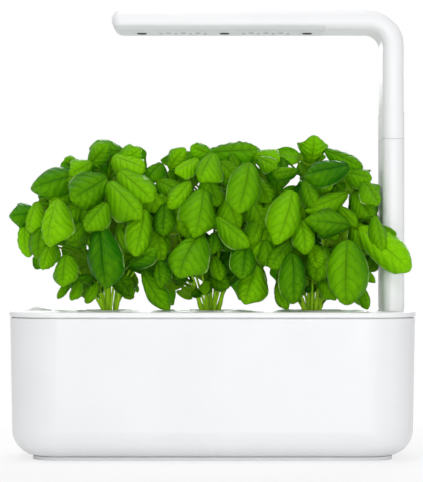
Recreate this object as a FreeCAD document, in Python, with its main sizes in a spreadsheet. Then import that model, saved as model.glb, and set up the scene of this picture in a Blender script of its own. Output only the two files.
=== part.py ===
"""Countertop hydroponic garden: a reservoir casing, a lid with plant pods, a float and a grow lamp on a mast.

The frame stands on the floor under the middle of the casing, with +X to the mast, +Y to the back and +Z up.
"""

import FreeCAD, Part
import math
import os
import re

import Sketcher

SIZES = (
    # casing, plinth and feet
    ("body_width", 305.0, "lid, left to right"),
    ("body_depth", 125.0, "lid, front to back"),
    ("plan_round", 38.0, "corner radius of the lid, seen from above"),
    ("lid_overhang", 0.5, "lid past the casing on each side"),
    ("foot_proud", 0.5, "rubber feet below the plinth"),
    ("foot_diameter", 14.0, "rubber foot"),
    ("foot_recess", 1.3, "depth of the foot's recess in the plinth"),
    ("foot_slack", 0.15, "foot to its recess, all round"),
    ("foot_inset", 40.5, "foot from the lid's end"),
    ("foot_setback", 34.5, "foot from the lid's front or back"),
    ("plinth_height", 2.5, "base plate"),
    ("plinth_inset", 17.2, "base plate inside the casing's mouth"),
    ("casing_height", 103.4, "casing, without its plinth"),
    ("casing_draft", 1.0, "lean of the casing's sides, degrees"),
    ("casing_round", 20.0, "bottom edge of the casing"),
    ("casing_wall", 2.5, "casing wall"),
    ("mouth_round", 0.6, "outer edge of the casing's mouth"),
    ("plinth_screw_inset", 30.5, "plinth screw from the lid's end"),
    ("plinth_screw_y", 10.0, "plinth screw from the middle, front to back"),
    ("screw_diameter", 2.8, "shank of a case screw"),
    ("screw_head", 5.6, "head of a case screw"),
    ("screw_head_height", 1.5, "head of a case screw"),
    ("screw_slack", 0.1, "shank or head to its hole, all round"),
    ("plinth_screw_length", 3.1, "shank of a plinth screw"),
    # reservoir
    ("tank_slack", 0.8, "reservoir to casing wall"),
    ("tank_wall", 1.8, "reservoir wall"),
    ("tank_drop", 6.4, "reservoir rim below the casing's mouth"),
    ("tank_past_pod", 23.0, "right end of the reservoir from the middle of the right pod"),
    ("tank_round", 17.0, "bottom edge of the reservoir"),
    # lid
    ("seam_gap", 0.8, "shadow gap between casing and lid"),
    ("lid_rim", 3.8, "height of the lid's edge"),
    ("lid_edge_round", 1.5, "upper edge of the lid"),
    ("lid_edge_chamfer", 0.5, "lower edge of the lid"),
    ("lid_plate", 3.0, "thickness of the lid inside its skirt"),
    ("skirt_depth", 5.0, "lid's skirt below the casing's mouth"),
    ("skirt_slack", 0.4, "lid's skirt to casing wall"),
    ("skirt_wall", 1.8, "lid's skirt"),
    ("seat_gap", 0.3, "loose piece to its seat"),
    ("lid_rib", 5.0, "length of a rib that the lid rests on"),
    ("lid_rib_reach", 1.5, "rib over the casing's wall"),
    ("lid_rib_inset", 72.5, "rib from the lid's end"),
    # pods
    ("pod_margin", 3.0, "four steps from pod to pod, past the lid's width"),
    ("pod_shift", 2.0, "middle pod left of the casing's middle"),
    ("pod_flange", 23.0, "radius of the pod's flange"),
    ("pod_flange_height", 1.2, "flange"),
    ("pod_mouth", 19.5, "radius of the cup under its flange"),
    ("pod_foot", 16.0, "radius of the cup's foot"),
    ("pod_depth", 38.0, "cup, from the lid's top"),
    ("pod_wall", 1.2, "cup wall"),
    ("pod_slack", 0.35, "cup to lid, all round"),
    ("pod_slot_width", 3.0, "slot in the cup"),
    ("pod_slot_height", 16.0, "slot in the cup"),
    ("pod_slot_low", 5.0, "slot above the cup's foot"),
    ("pod_slots", 8, "slots round a cup"),
    ("medium_slack", 0.2, "growing medium to cup"),
    ("medium_drop", 2.2, "growing medium below the cup's top"),
    ("cover_plate", 0.9, "pod cover"),
    ("cover_hole", 10.5, "radius of the cover's planting hole"),
    ("cover_slack", 0.35, "pod cover to cup"),
    ("wick_width", 7.0, "wick"),
    ("wick_thickness", 2.0, "wick"),
    ("wick_length", 56.0, "wick below the growing medium"),
    ("wick_slack", 0.15, "wick to its slot"),
    # plants
    ("plant_pitch", 77.0, "step from pod to pod that the plants' tables are for"),
    ("stem_foot", 1.8, "radius of a stem at its foot"),
    ("stem_head", 0.8, "radius of a stem at its head"),
    ("stalk_width", 1.5, "leaf stalk"),
    ("leaf_thick", 0.8, "leaf blade"),
    # float
    ("float_inset", 21.5, "middle of the float from the lid's left end"),
    ("float_cap", 11.0, "radius of the float's cap"),
    ("float_crown", 3.4, "dome of the float's cap"),
    ("float_rim", 1.2, "edge of the float's cap"),
    ("float_stem", 2.2, "radius of the float's stem"),
    ("float_stem_length", 21.0, "stem, from cap to block"),
    ("float_block", 10.4, "radius of the float's block"),
    ("float_block_height", 24.0, "float's block"),
    ("float_rise", 3.0, "crown of the float's cap above the lid, at full"),
    ("guide_slack", 0.9, "float's block to its guide"),
    ("guide_wall", 1.4, "float guide"),
    ("guide_length", 84.0, "float guide"),
    ("guide_window", 9.0, "width of a window in the float guide"),
    ("guide_sill", 7.0, "ring above and below the guide's windows"),
    ("guide_lug", 7.0, "lug that holds the guide to the lid, square"),
    ("guide_lug_height", 2.0, "guide's lug"),
    ("filler_length", 34.0, "filling slot, sideways"),
    ("filler_width", 25.0, "filling slot, front to back"),
    ("filler_inset", 25.5, "middle of the filling slot from the lid's left end"),
    ("filler_round", 12.0, "corner of the filling slot"),
    # mast and lamp arm
    ("mast_inset", 16.3, "middle of the mast from the lid's right end"),
    ("arm_thick", 16.0, "lamp arm, thin way"),
    ("arm_wide", 50.0, "lamp arm, front to back"),
    ("arm_round", 6.5, "long edges of the lamp arm"),
    ("arm_wall", 2.2, "lamp arm wall"),
    ("mast_proud", 0.4, "mast past the lamp arm, each side"),
    ("mast_wall", 2.0, "mast wall"),
    ("mast_length", 136.4, "mast, without its spigot"),
    ("mast_slot_slack", 0.5, "mast to lid, all round"),
    ("spigot_length", 22.0, "spigot"),
    ("spigot_slack", 0.3, "spigot to its socket, all round"),
    ("spigot_wall", 1.6, "spigot wall"),
    ("collar_height", 20.0, "collar at the lamp arm's foot"),
    ("collar_spigot", 8.0, "collar inside the lamp arm"),
    ("arm_top", 338.2, "top of the lamp arm above the floor"),
    ("arm_bend", 11.0, "inner radius of the lamp arm's bend"),
    ("arm_reach", 212.2, "free end of the lamp arm from the mast's middle"),
    ("arm_nose", 7.5, "corner radius of the free end"),
    ("cover_height", 3.1, "lamp cover's side"),
    ("cover_reach", 52.2, "right end of the lamp cover from the mast's middle"),
    ("cover_gap", 0.2, "parting line round the lamp cover"),
    # lamp inside
    ("lamp_reach", 127.1, "middle screw of the lamp cover from the mast's middle"),
    ("lamp_screw_pitch", 63.0, "from lamp screw to lamp screw"),
    ("lamp_well", 4.0, "radius of a lamp screw's well"),
    ("lamp_well_depth", 2.1, "lamp screw's well"),
    ("lamp_plug_slack", 0.15, "plug to its well, all round"),
    ("lamp_plug_inside", 0.45, "plug inside its well, short of the screw"),
    ("lamp_plug_crown", 0.7, "plug's crown below the lamp cover"),
    ("lamp_plug_bevel", 0.5, "plug's crown, drawn in at its face"),
    ("lamp_boss", 5.6, "radius of a boss in the lamp cover"),
    ("lamp_boss_height", 3.3, "boss, from the cover's underside"),
    ("lamp_screw_length", 10.0, "shank of a lamp screw"),
    ("lamp_screw_spare", 0.7, "hole beyond the end of a lamp screw"),
    ("lamp_post", 3.4, "radius of a post for a lamp screw"),
    ("led_pitch", 5.6, "from emitter to emitter"),
    ("led_stagger", 2.5, "emitter from the lamp's middle line"),
    ("led_large", 2.4, "radius of a large window"),
    ("led_small", 1.5, "radius of a small window"),
    ("led_side", 2.8, "emitter package"),
    ("led_height", 0.9, "emitter package"),
    ("lens_crown", 0.5, "dome of a window's lens"),
    ("lens_slack", 0.05, "lens to its window"),
    ("board_width", 34.0, "emitter board"),
    ("board_thick", 1.2, "emitter board"),
    ("board_end", 7.0, "emitter board inside the lamp's ends"),
    ("sink_thick", 1.5, "heat spreader"),
    ("sink_gap", 1.5, "heat spreader to lead connector"),
    ("plug_block", 9.0, "lead connector, sideways"),
    ("plug_block_width", 12.0, "lead connector, front to back"),
    ("plug_block_height", 4.0, "lead connector"),
    ("lead_diameter", 1.8, "lead"),
    ("lead_bend", 16.0, "radius of a lamp lead's bend"),
    # contacts and the electronics in the casing
    ("contact_y", 13.0, "contact strip from the middle line"),
    ("contact_wide", 5.0, "contact strip"),
    ("contact_thick", 0.8, "contact strip"),
    ("contact_reach", 6.0, "blade beyond its carrier"),
    ("contact_rise", 6.5, "strip above the floor that holds it"),
    ("contact_slack", 0.1, "contact strip to its slot"),
    ("contact_step", 1.1, "strip beside the blade that it touches"),
    ("contact_tail", 3.0, "strip below the mast socket"),
    ("contact_jog", 6.0, "the mast strips' step below the upper carrier"),
    ("carrier_height", 5.0, "contact carrier"),
    ("carrier_slack", 0.15, "contact carrier to its tube"),
    ("web_thick", 3.0, "floor of the mast above its spigot"),
    ("socket_wall", 2.2, "mast socket wall"),
    ("socket_depth", 29.0, "mast socket, and the hollow in the mast's top"),
    ("socket_floor", 4.0, "mast socket floor"),
    ("socket_drop", 2.6, "mast socket below the casing's mouth"),
    ("post_reach", 14.2, "left face of the post from the mast's middle"),
    ("post_thick", 8.0, "post, sideways"),
    ("post_width", 20.0, "post, front to back"),
    ("post_foot", 8.0, "foot of the post, past its left face"),
    ("post_foot_height", 3.0, "foot of the post"),
    ("standoff_radius", 3.0, "stand-off between post and control board"),
    ("standoff_length", 4.0, "stand-off"),
    ("standoff_low", 25.0, "lower stand-off above the floor"),
    ("standoff_high", 52.0, "upper stand-off above the floor"),
    ("control_thick", 1.6, "control board"),
    ("control_front", 24.0, "control board in front of the middle"),
    ("control_back", 52.0, "control board behind the middle"),
    ("control_low", 17.0, "lower edge of the control board above the floor"),
    ("control_high", 60.0, "upper edge of the control board above the floor"),
    ("capacitor_radius", 4.0, "capacitor"),
    ("capacitor_length", 9.0, "capacitor"),
    ("capacitor_y", 34.0, "capacitor behind the middle"),
    ("capacitor_z", 50.0, "capacitor above the floor"),
    ("chip_side", 9.0, "timer chip, square"),
    ("chip_thick", 1.8, "timer chip"),
    ("chip_z", 34.0, "timer chip and coil above the floor"),
    ("coil_y", 22.0, "coil behind the middle"),
    ("coil_side", 8.0, "coil, square"),
    ("coil_thick", 4.5, "coil"),
    ("base_lead_z", 48.0, "base leads on the control board above the floor"),
    ("base_lead_bend", 8.0, "radius of a base lead's bend"),
    ("inlet_z", 34.0, "power inlet above the floor"),
    ("inlet_wide", 9.0, "inlet housing"),
    ("inlet_high", 11.0, "inlet housing"),
    ("inlet_length", 14.0, "inlet housing"),
    ("inlet_neck", 4.0, "radius of the inlet's neck"),
    ("inlet_bore", 3.1, "radius of the inlet's bore"),
    ("inlet_depth", 9.5, "inlet's bore"),
    ("inlet_pin", 1.0, "radius of the inlet's pin"),
    ("inlet_slack", 0.3, "inlet to casing"),
    ("inlet_sunk", 0.8, "neck inside the casing's outer face"),
)

NAME = re.compile(r"(?<![\w.])(?:%s)(?!\w)" % "|".join(row[0] for row in SIZES))

doc = FreeCAD.newDocument("garden")
sheet = doc.addObject("Spreadsheet::Sheet", "Sizes")


def fill_sheet():
    """Writes the driving dimensions: what it is, its value with an alias, row by row."""
    for row, (alias, size, meaning) in enumerate(SIZES, start=1):
        sheet.set("A%d" % row, meaning)
        sheet.set("B%d" % row, str(size))
        sheet.setAlias("B%d" % row, alias)
    doc.recompute()


fill_sheet()


def value(expression):
    """A size worked out from an expression of the sheet's names, as a plain number."""
    found = sheet.evalExpression(expression)
    return float(getattr(found, "Value", found))


def size(formula):
    """An expression of the sheet's names, written as a formula of their aliases."""
    return "(" + NAME.sub(lambda found: "Sizes." + found.group(0), formula) + ")"


# Heights above the floor
CASING_BASE = size("foot_proud + plinth_height")
CASING_TOP = size("foot_proud + plinth_height + casing_height")
CASING_FLOOR = size("foot_proud + plinth_height + casing_wall")
LID_BASE = CASING_TOP + " + " + size("seam_gap")
LID_TOP = LID_BASE + " + " + size("lid_rim")
TANK_TOP = CASING_TOP + " - " + size("tank_drop")
SOCKET_TOP = CASING_TOP + " - " + size("socket_drop")
MAST_BASE = SOCKET_TOP + " + " + size("seat_gap")
MAST_TOP = MAST_BASE + " + " + size("mast_length")
COLLAR_BASE = MAST_TOP + " + " + size("cover_gap")
ARM_BASE = COLLAR_BASE + " + " + size("collar_height")
ARM_UNDER = size("arm_top - arm_thick")
BOARD_BASE = ARM_UNDER + " + " + size("lamp_boss_height")
SINK_BASE = BOARD_BASE + " + " + size("board_thick")
POD_TOP = LID_TOP + " + " + size("seat_gap")

# Sections and half widths
HALF_WIDTH = size("body_width / 2 - lid_overhang")
HALF_DEPTH = size("body_depth / 2 - lid_overhang")
MAST_THICK = size("arm_thick + 2 * mast_proud")
MAST_WIDE = size("arm_wide + 2 * mast_proud")
MAST_ROUND = size("arm_round + mast_proud")
SPIGOT_INSET = size("mast_wall + spigot_slack")
MAST_X = size("body_width / 2 - mast_inset")
POST_LEFT = "(%s - %s)" % (MAST_X, size("post_reach"))
BOARD_LEFT = "(%s - %s)" % (POST_LEFT, size("standoff_length + control_thick"))
ARM_LEFT = "(%s - %s)" % (MAST_X, size("arm_reach"))
COVER_RIGHT = "(%s - %s)" % (MAST_X, size("cover_reach"))
LAMP_MIDDLE = "(%s - %s)" % (MAST_X, size("lamp_reach"))
POD_PITCH = size("(body_width + pod_margin) / 4")
POD_SPOTS = {
    "left": "(%s - %s)" % (size("-1 * pod_shift"), POD_PITCH),
    "middle": size("-1 * pod_shift"),
    "right": "(%s - %s)" % (POD_PITCH, size("pod_shift")),
}
X_AXIS = FreeCAD.Vector(1, 0, 0)
Y_AXIS = FreeCAD.Vector(0, 1, 0)
Z_AXIS = FreeCAD.Vector(0, 0, 1)
SAME = 1e-3


def less(expression, amount, sides=2):
    """An expression less an amount on each of its sides."""
    return "(%s - %d * %s)" % (expression, sides, amount)


def bind(thing, expressions):
    """Ties properties of an object to expressions."""
    for name, expression in expressions.items():
        thing.setExpression(name, expression)
    return thing


def place(thing, x="0", y="0", z="0"):
    """Ties an object's place to expressions."""
    return bind(thing, {"Placement.Base.x": x, "Placement.Base.y": y, "Placement.Base.z": z})


def block(name, x, y, low, length, width, height):
    """A box that stands on the height low, with its middle at (x, y)."""
    box = bind(doc.addObject("Part::Box", name), {"Length": length, "Width": width, "Height": height})
    return place(box, "%s - %s / 2" % (x, length), "%s - %s / 2" % (y, width), low)


def disc(name, x, y, low, radius, height):
    """An upright cylinder that stands on the height low."""
    cylinder = bind(doc.addObject("Part::Cylinder", name), {"Radius": radius, "Height": height})
    return place(cylinder, x, y, low)


def cut(name, base, tools):
    """A solid less others."""
    tool = tools[0]
    if len(tools) > 1:
        tool = doc.addObject("Part::MultiFuse", name + "_tools")
        tool.Shapes = tools
    result = doc.addObject("Part::Cut", name)
    result.Base = base
    result.Tool = tool
    return result


def fuse(name, solids):
    """Solids joined in one."""
    result = doc.addObject("Part::MultiFuse", name)
    result.Shapes = solids
    return result


def group(name, solids):
    """Separate solids kept under one name."""
    result = doc.addObject("Part::Compound", name)
    result.Links = solids
    return result


def new_body(name, x="0", y="0", z="0"):
    """An empty body with its own origin at (x, y, z)."""
    return place(doc.addObject("PartDesign::Body", name), x, y, z)


def datum(body, role):
    """One of a body's own origin planes or axes."""
    return next(item for item in body.Origin.OriginFeatures if item.Role == role)


def draw(body, name, role="XY_Plane", x="0", y="0", lift="0"):
    """A new sketch on one of a body's origin planes, moved by expressions in that plane and off it."""
    sketch = body.newObject("Sketcher::SketchObject", name)
    sketch.AttachmentSupport = [(datum(body, role), "")]
    sketch.MapMode = "FlatFace"
    return bind(sketch, {
        "AttachmentOffset.Base.x": x,
        "AttachmentOffset.Base.y": y,
        "AttachmentOffset.Base.z": lift,
    })


def limit(sketch, expression, *terms):
    """Adds a constraint that an expression drives."""
    index = sketch.addConstraint(Sketcher.Constraint(*terms, value(expression)))
    sketch.setExpression("Constraints[%d]" % index, expression)


def rounded_rectangle(sketch, length, width, radius):
    """Draws a rectangle with round corners about the sketch's origin."""
    first = sketch.GeometryCount
    half_x, half_y, corner = value(length) / 2, value(width) / 2, value(radius)
    inner_x, inner_y = half_x - corner, half_y - corner
    sides = (
        ((-inner_x, -half_y), (inner_x, -half_y), (inner_x, -inner_y), -90),
        ((half_x, -inner_y), (half_x, inner_y), (inner_x, inner_y), 0),
        ((inner_x, half_y), (-inner_x, half_y), (-inner_x, inner_y), 90),
        ((-half_x, inner_y), (-half_x, -inner_y), (-inner_x, -inner_y), 180),
    )
    for start, end, centre, angle in sides:
        sketch.addGeometry(Part.LineSegment(FreeCAD.Vector(*start, 0), FreeCAD.Vector(*end, 0)))
        circle = Part.Circle(FreeCAD.Vector(*centre, 0), Z_AXIS, corner)
        sketch.addGeometry(Part.ArcOfCircle(circle, math.radians(angle), math.radians(angle + 90)))
    for number in range(8):
        after = first + (number + 1) % 8
        sketch.addConstraint(Sketcher.Constraint("Tangent", first + number, 2, after, 1))
    for number in (0, 4):
        sketch.addConstraint(Sketcher.Constraint("Horizontal", first + number))
    for number in (2, 6):
        sketch.addConstraint(Sketcher.Constraint("Vertical", first + number))
    for number in (3, 5, 7):
        sketch.addConstraint(Sketcher.Constraint("Equal", first + 1, first + number))
    limit(sketch, radius, "Radius", first + 1)
    limit(sketch, length + " / 2", "DistanceX", -1, 1, first + 2, 1)
    limit(sketch, length + " / 2", "DistanceX", first + 6, 1, -1, 1)
    limit(sketch, width + " / 2", "DistanceY", -1, 1, first + 4, 1)
    limit(sketch, width + " / 2", "DistanceY", first, 1, -1, 1)


def ring(sketch, radius, x="0", y="0"):
    """Draws a circle about a point of the sketch."""
    centre = FreeCAD.Vector(value(x), value(y), 0)
    number = sketch.addGeometry(Part.Circle(centre, Z_AXIS, value(radius)))
    limit(sketch, x, "DistanceX", -1, 1, number, 3)
    limit(sketch, y, "DistanceY", -1, 1, number, 3)
    limit(sketch, radius, "Radius", number)


def outline(sketch, corners):
    """Draws a closed outline of straight sides through corners given as pairs of expressions."""
    first = sketch.GeometryCount
    spots = [FreeCAD.Vector(value(x), value(y), 0) for x, y in corners]
    for number, spot in enumerate(spots):
        sketch.addGeometry(Part.LineSegment(spot, spots[(number + 1) % len(spots)]))
    for number, (x, y) in enumerate(corners):
        before = first + (number - 1) % len(corners)
        sketch.addConstraint(Sketcher.Constraint("Coincident", before, 2, first + number, 1))
        limit(sketch, x, "DistanceX", -1, 1, first + number, 1)
        limit(sketch, y, "DistanceY", -1, 1, first + number, 1)


def add_feature(body, kind, name, sketch, expressions, **settings):
    """A feature made from a sketch, which becomes the body's last one."""
    feature = body.newObject("PartDesign::" + kind, name)
    feature.Profile = sketch
    for setting, choice in settings.items():
        setattr(feature, setting, choice)
    bind(feature, expressions)
    sketch.Visibility = False
    doc.recompute()
    return feature


def pad(body, name, sketch, length, **settings):
    """Builds a sketch up into a solid."""
    return add_feature(body, "Pad", name, sketch, {"Length": length}, **settings)


def pocket(body, name, sketch, length, **settings):
    """Cuts a sketch into the solid."""
    return add_feature(body, "Pocket", name, sketch, {"Length": length}, **settings)


def revolve(body, name, sketch):
    """Turns a profile, drawn right of the upright axis, once round it."""
    feature = body.newObject("PartDesign::Revolution", name)
    feature.Profile = sketch
    feature.ReferenceAxis = (datum(body, "Z_Axis"), [""])
    feature.Angle = 360
    doc.recompute()
    return feature


def dress(body, kind, name, chosen, amount, amount_name):
    """Rounds or bevels the edges of a body that a test chooses."""
    edges = ["Edge%d" % number for number, edge in enumerate(body.Tip.Shape.Edges, start=1) if chosen(edge)]
    feature = body.newObject("PartDesign::" + kind, name)
    feature.Base = (body.Tip if body.Tip is not feature else feature.BaseFeature, edges)
    feature.setExpression(amount_name, amount)
    doc.recompute()
    return feature


def fillet(body, name, chosen, radius):
    """Rounds the edges that a test chooses."""
    return dress(body, "Fillet", name, chosen, radius, "Radius")


def chamfer(body, name, chosen, amount):
    """Bevels the edges that a test chooses."""
    return dress(body, "Chamfer", name, chosen, amount, "Size")


def level(height):
    """A test for edges that lie flat at a height of their own body."""
    return lambda edge: max(abs(edge.BoundBox.ZMin - height), abs(edge.BoundBox.ZMax - height)) < SAME


# Casing, plinth, feet and reservoir
def tub(name, low, height, centre_x, length, width, corner, foot_round, wall):
    """An open tub that leans in towards its floor, with a round lower edge and an even wall."""
    body = new_body(name, centre_x, "0", low)
    lean = size("casing_draft")
    mouth = draw(body, name + "_mouth", lift=height)
    rounded_rectangle(mouth, length, width, corner)
    form = pad(body, name + "_form", mouth, height, Reversed=True)
    bind(form, {"TaperAngle": "-1 * " + lean})
    doc.recompute()
    inside = draw(body, name + "_inside", lift=height)
    rounded_rectangle(inside, less(length, wall), less(width, wall), "(%s - %s)" % (corner, wall))
    depth = "(%s - %s)" % (height, wall)
    room = pocket(body, name + "_room", inside, depth)
    bind(room, {"TaperAngle": "-1 * " + lean})
    doc.recompute()
    fillet(body, name + "_room_round", level(value(wall)), "(%s - %s)" % (foot_round, wall))
    fillet(body, name + "_foot_round", level(0), foot_round)
    return body


def quarter_spots(x, y):
    """Four places, one in each quarter, as pairs of expressions."""
    return [(side + x, end + y) for side in ("1 * ", "-1 * ") for end in ("1 * ", "-1 * ")]


FOOT_SPOTS = quarter_spots(size("body_width / 2 - foot_inset"), size("body_depth / 2 - foot_setback"))
PLINTH_SCREW_SPOTS = quarter_spots(size("body_width / 2 - plinth_screw_inset"), size("plinth_screw_y"))
SHANK_HOLE = size("screw_diameter / 2 + screw_slack")
HEAD_HOLE = size("screw_head / 2 + screw_slack")
INLET_X = "(%s - %s)" % (BOARD_LEFT, size("inlet_wide / 2"))


def rings(sketch, spots, radius):
    """Draws a circle at each of several places."""
    for x, y in spots:
        ring(sketch, radius, x, y)


def bar(sketch, x, y, length, width):
    """Draws a rectangle about a point of the sketch."""
    left, right = "%s - %s / 2" % (x, length), "%s + %s / 2" % (x, length)
    front, back = "%s - %s / 2" % (y, width), "%s + %s / 2" % (y, width)
    outline(sketch, ((left, front), (right, front), (right, back), (left, back)))


def screw(name, x, y, low, shank):
    """A case screw with its head below its shank."""
    head = disc(name + "_head", x, y, low, size("screw_head / 2"), size("screw_head_height"))
    top = low + " + " + size("screw_head_height")
    return fuse(name, [head, disc(name + "_shank", x, y, top, size("screw_diameter / 2"), shank)])


def make_casing():
    """The outer casing, with a hole for the power inlet and four for the plinth's screws."""
    height = size("casing_height")
    width, depth = "(2 * %s)" % HALF_WIDTH, "(2 * %s)" % HALF_DEPTH
    corner = size("plan_round - lid_overhang")
    body = tub("casing", CASING_BASE, height, "0", width, depth, corner, size("casing_round"),
               size("casing_wall"))
    reach_x, reach_y, top = value(HALF_WIDTH), value(HALF_DEPTH), value(height)

    def outer_rim(edge):
        box = edge.BoundBox
        ends = max(abs(box.XMin), box.XMax) > reach_x - SAME
        sides = max(abs(box.YMin), box.YMax) > reach_y - SAME
        return level(top)(edge) and (ends or sides)

    fillet(body, "casing_mouth_round", outer_rim, size("mouth_round"))
    screws = draw(body, "casing_screws")
    rings(screws, PLINTH_SCREW_SPOTS, SHANK_HOLE)
    pocket(body, "casing_screw_holes", screws, size("casing_wall"), Reversed=True)
    inlet = draw(body, "casing_inlet", "XZ_Plane")
    ring(inlet, size("inlet_neck + inlet_slack"), INLET_X, "%s - %s" % (size("inlet_z"), CASING_BASE))
    pocket(body, "casing_inlet_hole", inlet, HALF_DEPTH)
    return body


def make_base_plate():
    """The plinth under the casing, with recesses for its feet and its screws."""
    body = new_body("base_plate", "0", "0", size("foot_proud"))
    plan = draw(body, "plinth_plan")
    inset = size("plinth_inset")
    length, width = less("(2 * %s)" % HALF_WIDTH, inset), less("(2 * %s)" % HALF_DEPTH, inset)
    rounded_rectangle(plan, length, width, size("plan_round - lid_overhang - plinth_inset"))
    pad(body, "plinth_form", plan, size("plinth_height"))
    feet = draw(body, "plinth_feet")
    rings(feet, FOOT_SPOTS, size("foot_diameter / 2 + foot_slack"))
    pocket(body, "plinth_foot_recesses", feet, size("foot_recess"), Reversed=True)
    heads = draw(body, "plinth_heads")
    rings(heads, PLINTH_SCREW_SPOTS, HEAD_HOLE)
    pocket(body, "plinth_head_recesses", heads, size("screw_head_height"), Reversed=True)
    shanks = draw(body, "plinth_shanks")
    rings(shanks, PLINTH_SCREW_SPOTS, SHANK_HOLE)
    pocket(body, "plinth_shank_holes", shanks, size("plinth_height"), Reversed=True)
    return body


def make_rubber_feet():
    """Four feet, each up against the roof of its recess."""
    height = size("foot_proud + foot_recess")
    radius = size("foot_diameter / 2")
    feet = [disc("foot_%d" % number, x, y, "0", radius, height) for number, (x, y) in enumerate(FOOT_SPOTS)]
    return group("rubber_feet", feet)


def make_base_screws():
    """Four screws that hold the plinth to the casing."""
    low, shank = size("foot_proud"), size("plinth_screw_length")
    return group("base_screws", [
        screw("base_screw_%d" % number, x, y, low, shank) for number, (x, y) in enumerate(PLINTH_SCREW_SPOTS)
    ])


def make_water_tank():
    """The reservoir, which stands on the casing's floor and leans with its walls."""
    lean = "tan(%s * 1 deg)" % size("casing_draft")
    inset = "(%s + %s * %s)" % (size("casing_wall + tank_slack"), size("tank_drop"), lean)
    left = "(%s - %s)" % (HALF_WIDTH, inset)
    right = "(%s + %s)" % (POD_SPOTS["right"], size("tank_past_pod"))
    centre = "(%s - %s) / 2" % (right, left)
    length, width = "(%s + %s)" % (right, left), less("(2 * %s)" % HALF_DEPTH, inset)
    corner = size("plan_round - lid_overhang - casing_wall - tank_slack")
    height = "(%s - %s)" % (TANK_TOP, CASING_FLOOR)
    return tub("water_tank", CASING_FLOOR, height, centre, length, width, corner, size("tank_round"),
               size("tank_wall"))


# Sections that plug into each other along the mast
SPIGOT = (
    less(MAST_THICK, SPIGOT_INSET), less(MAST_WIDE, SPIGOT_INSET),
    "(%s - %s)" % (MAST_ROUND, SPIGOT_INSET),
)


def section(sketch, outer, inset):
    """Draws a mast section, given as its thickness, width and corner, drawn in by an amount."""
    thick, wide, corner = outer
    rounded_rectangle(sketch, less(thick, inset), less(wide, inset), "(%s - %s)" % (corner, inset))


def strip_slots(body, name, x, lift, depth, **settings):
    """Cuts the two slots that contact strips pass through."""
    slots = draw(body, name + "_plan", lift=lift)
    slack = size("contact_slack")
    for side in ("1 * ", "-1 * "):
        bar(slots, x, side + size("contact_y"), less(size("contact_thick"), "-1 * " + slack),
            less(size("contact_wide"), "-1 * " + slack))
    pocket(body, name, slots, depth, **settings)


def strips(name, x, low, height):
    """Two straight contact strips."""
    return group(name, [
        block("%s_%s" % (name, word), x, side + size("contact_y"), low, size("contact_thick"),
              size("contact_wide"), height)
        for word, side in (("back", "1 * "), ("front", "-1 * "))
    ])


SOCKET_BASE = SOCKET_TOP + " - " + size("socket_depth + socket_floor")
STRIP_X = "%s + %s" % (MAST_X, size("contact_step"))


def make_lamp_socket():
    """The socket under the lid that takes the mast, on a post from the casing's floor."""
    body = new_body("lamp_socket", MAST_X, "0", SOCKET_BASE)
    plan = draw(body, "socket_plan")
    section(plan, SPIGOT, "-1 * " + size("spigot_slack + socket_wall"))
    pad(body, "socket_form", plan, size("socket_depth + socket_floor"))
    post = draw(body, "post_plan", lift=size("socket_floor"))
    left = size("-1 * post_reach")
    bar(post, "%s + %s" % (left, size("post_thick / 2")), "0", size("post_thick"), size("post_width"))
    drop = "(%s - (%s))" % (SOCKET_BASE, CASING_FLOOR)
    pad(body, "post_form", post, "%s + %s" % (drop, size("socket_floor")), Reversed=True)
    foot = draw(body, "post_foot_plan", lift="-1 * " + drop)
    bar(foot, "%s - %s" % (left, size("post_foot / 2")), "0", size("post_foot"), size("post_width"))
    pad(body, "post_foot_form", foot, size("post_foot_height"))
    standoffs = draw(body, "standoff_plan", "YZ_Plane", lift=left)
    for height in (size("standoff_low"), size("standoff_high")):
        ring(standoffs, size("standoff_radius"), "0", "%s - (%s)" % (height, SOCKET_BASE))
    pad(body, "standoff_form", standoffs, size("standoff_length"), Reversed=True)
    room = draw(body, "socket_room_plan", lift=size("socket_depth + socket_floor"))
    section(room, SPIGOT, "-1 * " + size("spigot_slack"))
    pocket(body, "socket_room", room, size("socket_depth"))
    strip_slots(body, "socket_slots", size("contact_step"), size("socket_floor"), size("socket_floor"))
    return body


def make_socket_contacts():
    """Two strips that stand up in the socket beside the mast's blades."""
    low = "%s - %s" % (SOCKET_BASE, size("contact_tail"))
    return strips("socket_contacts", STRIP_X, low, size("contact_tail + socket_floor + contact_rise"))


def make_control_board():
    """The timer board, upright on the post's stand-offs."""
    depth = size("control_front + control_back")
    middle = size("(control_back - control_front) / 2")
    centre = "%s + %s" % (BOARD_LEFT, size("control_thick / 2"))
    height = size("control_high - control_low")
    return block("control_board", centre, middle, size("control_low"), size("control_thick"), depth, height)


def make_board_components():
    """A timer chip, a coil and a capacitor on the board's left face."""
    def component(name, y, low, length, width, height):
        return block(name, "%s - %s / 2" % (BOARD_LEFT, length), y, low, length, width, height)

    capacitor = bind(doc.addObject("Part::Cylinder", "capacitor"), {
        "Radius": size("capacitor_radius"), "Height": size("capacitor_length"),
    })
    capacitor.Placement.Rotation = FreeCAD.Rotation(Y_AXIS, -90)
    place(capacitor, BOARD_LEFT, size("capacitor_y"), size("capacitor_z"))
    chip = component("timer_chip", "0", size("chip_z"), size("chip_thick"), size("chip_side"),
                     size("chip_side"))
    coil = component("coil", size("coil_y"), size("chip_z"), size("coil_thick"), size("coil_side"),
                     size("coil_side"))
    return group("board_components", [chip, coil, capacitor])


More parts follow.
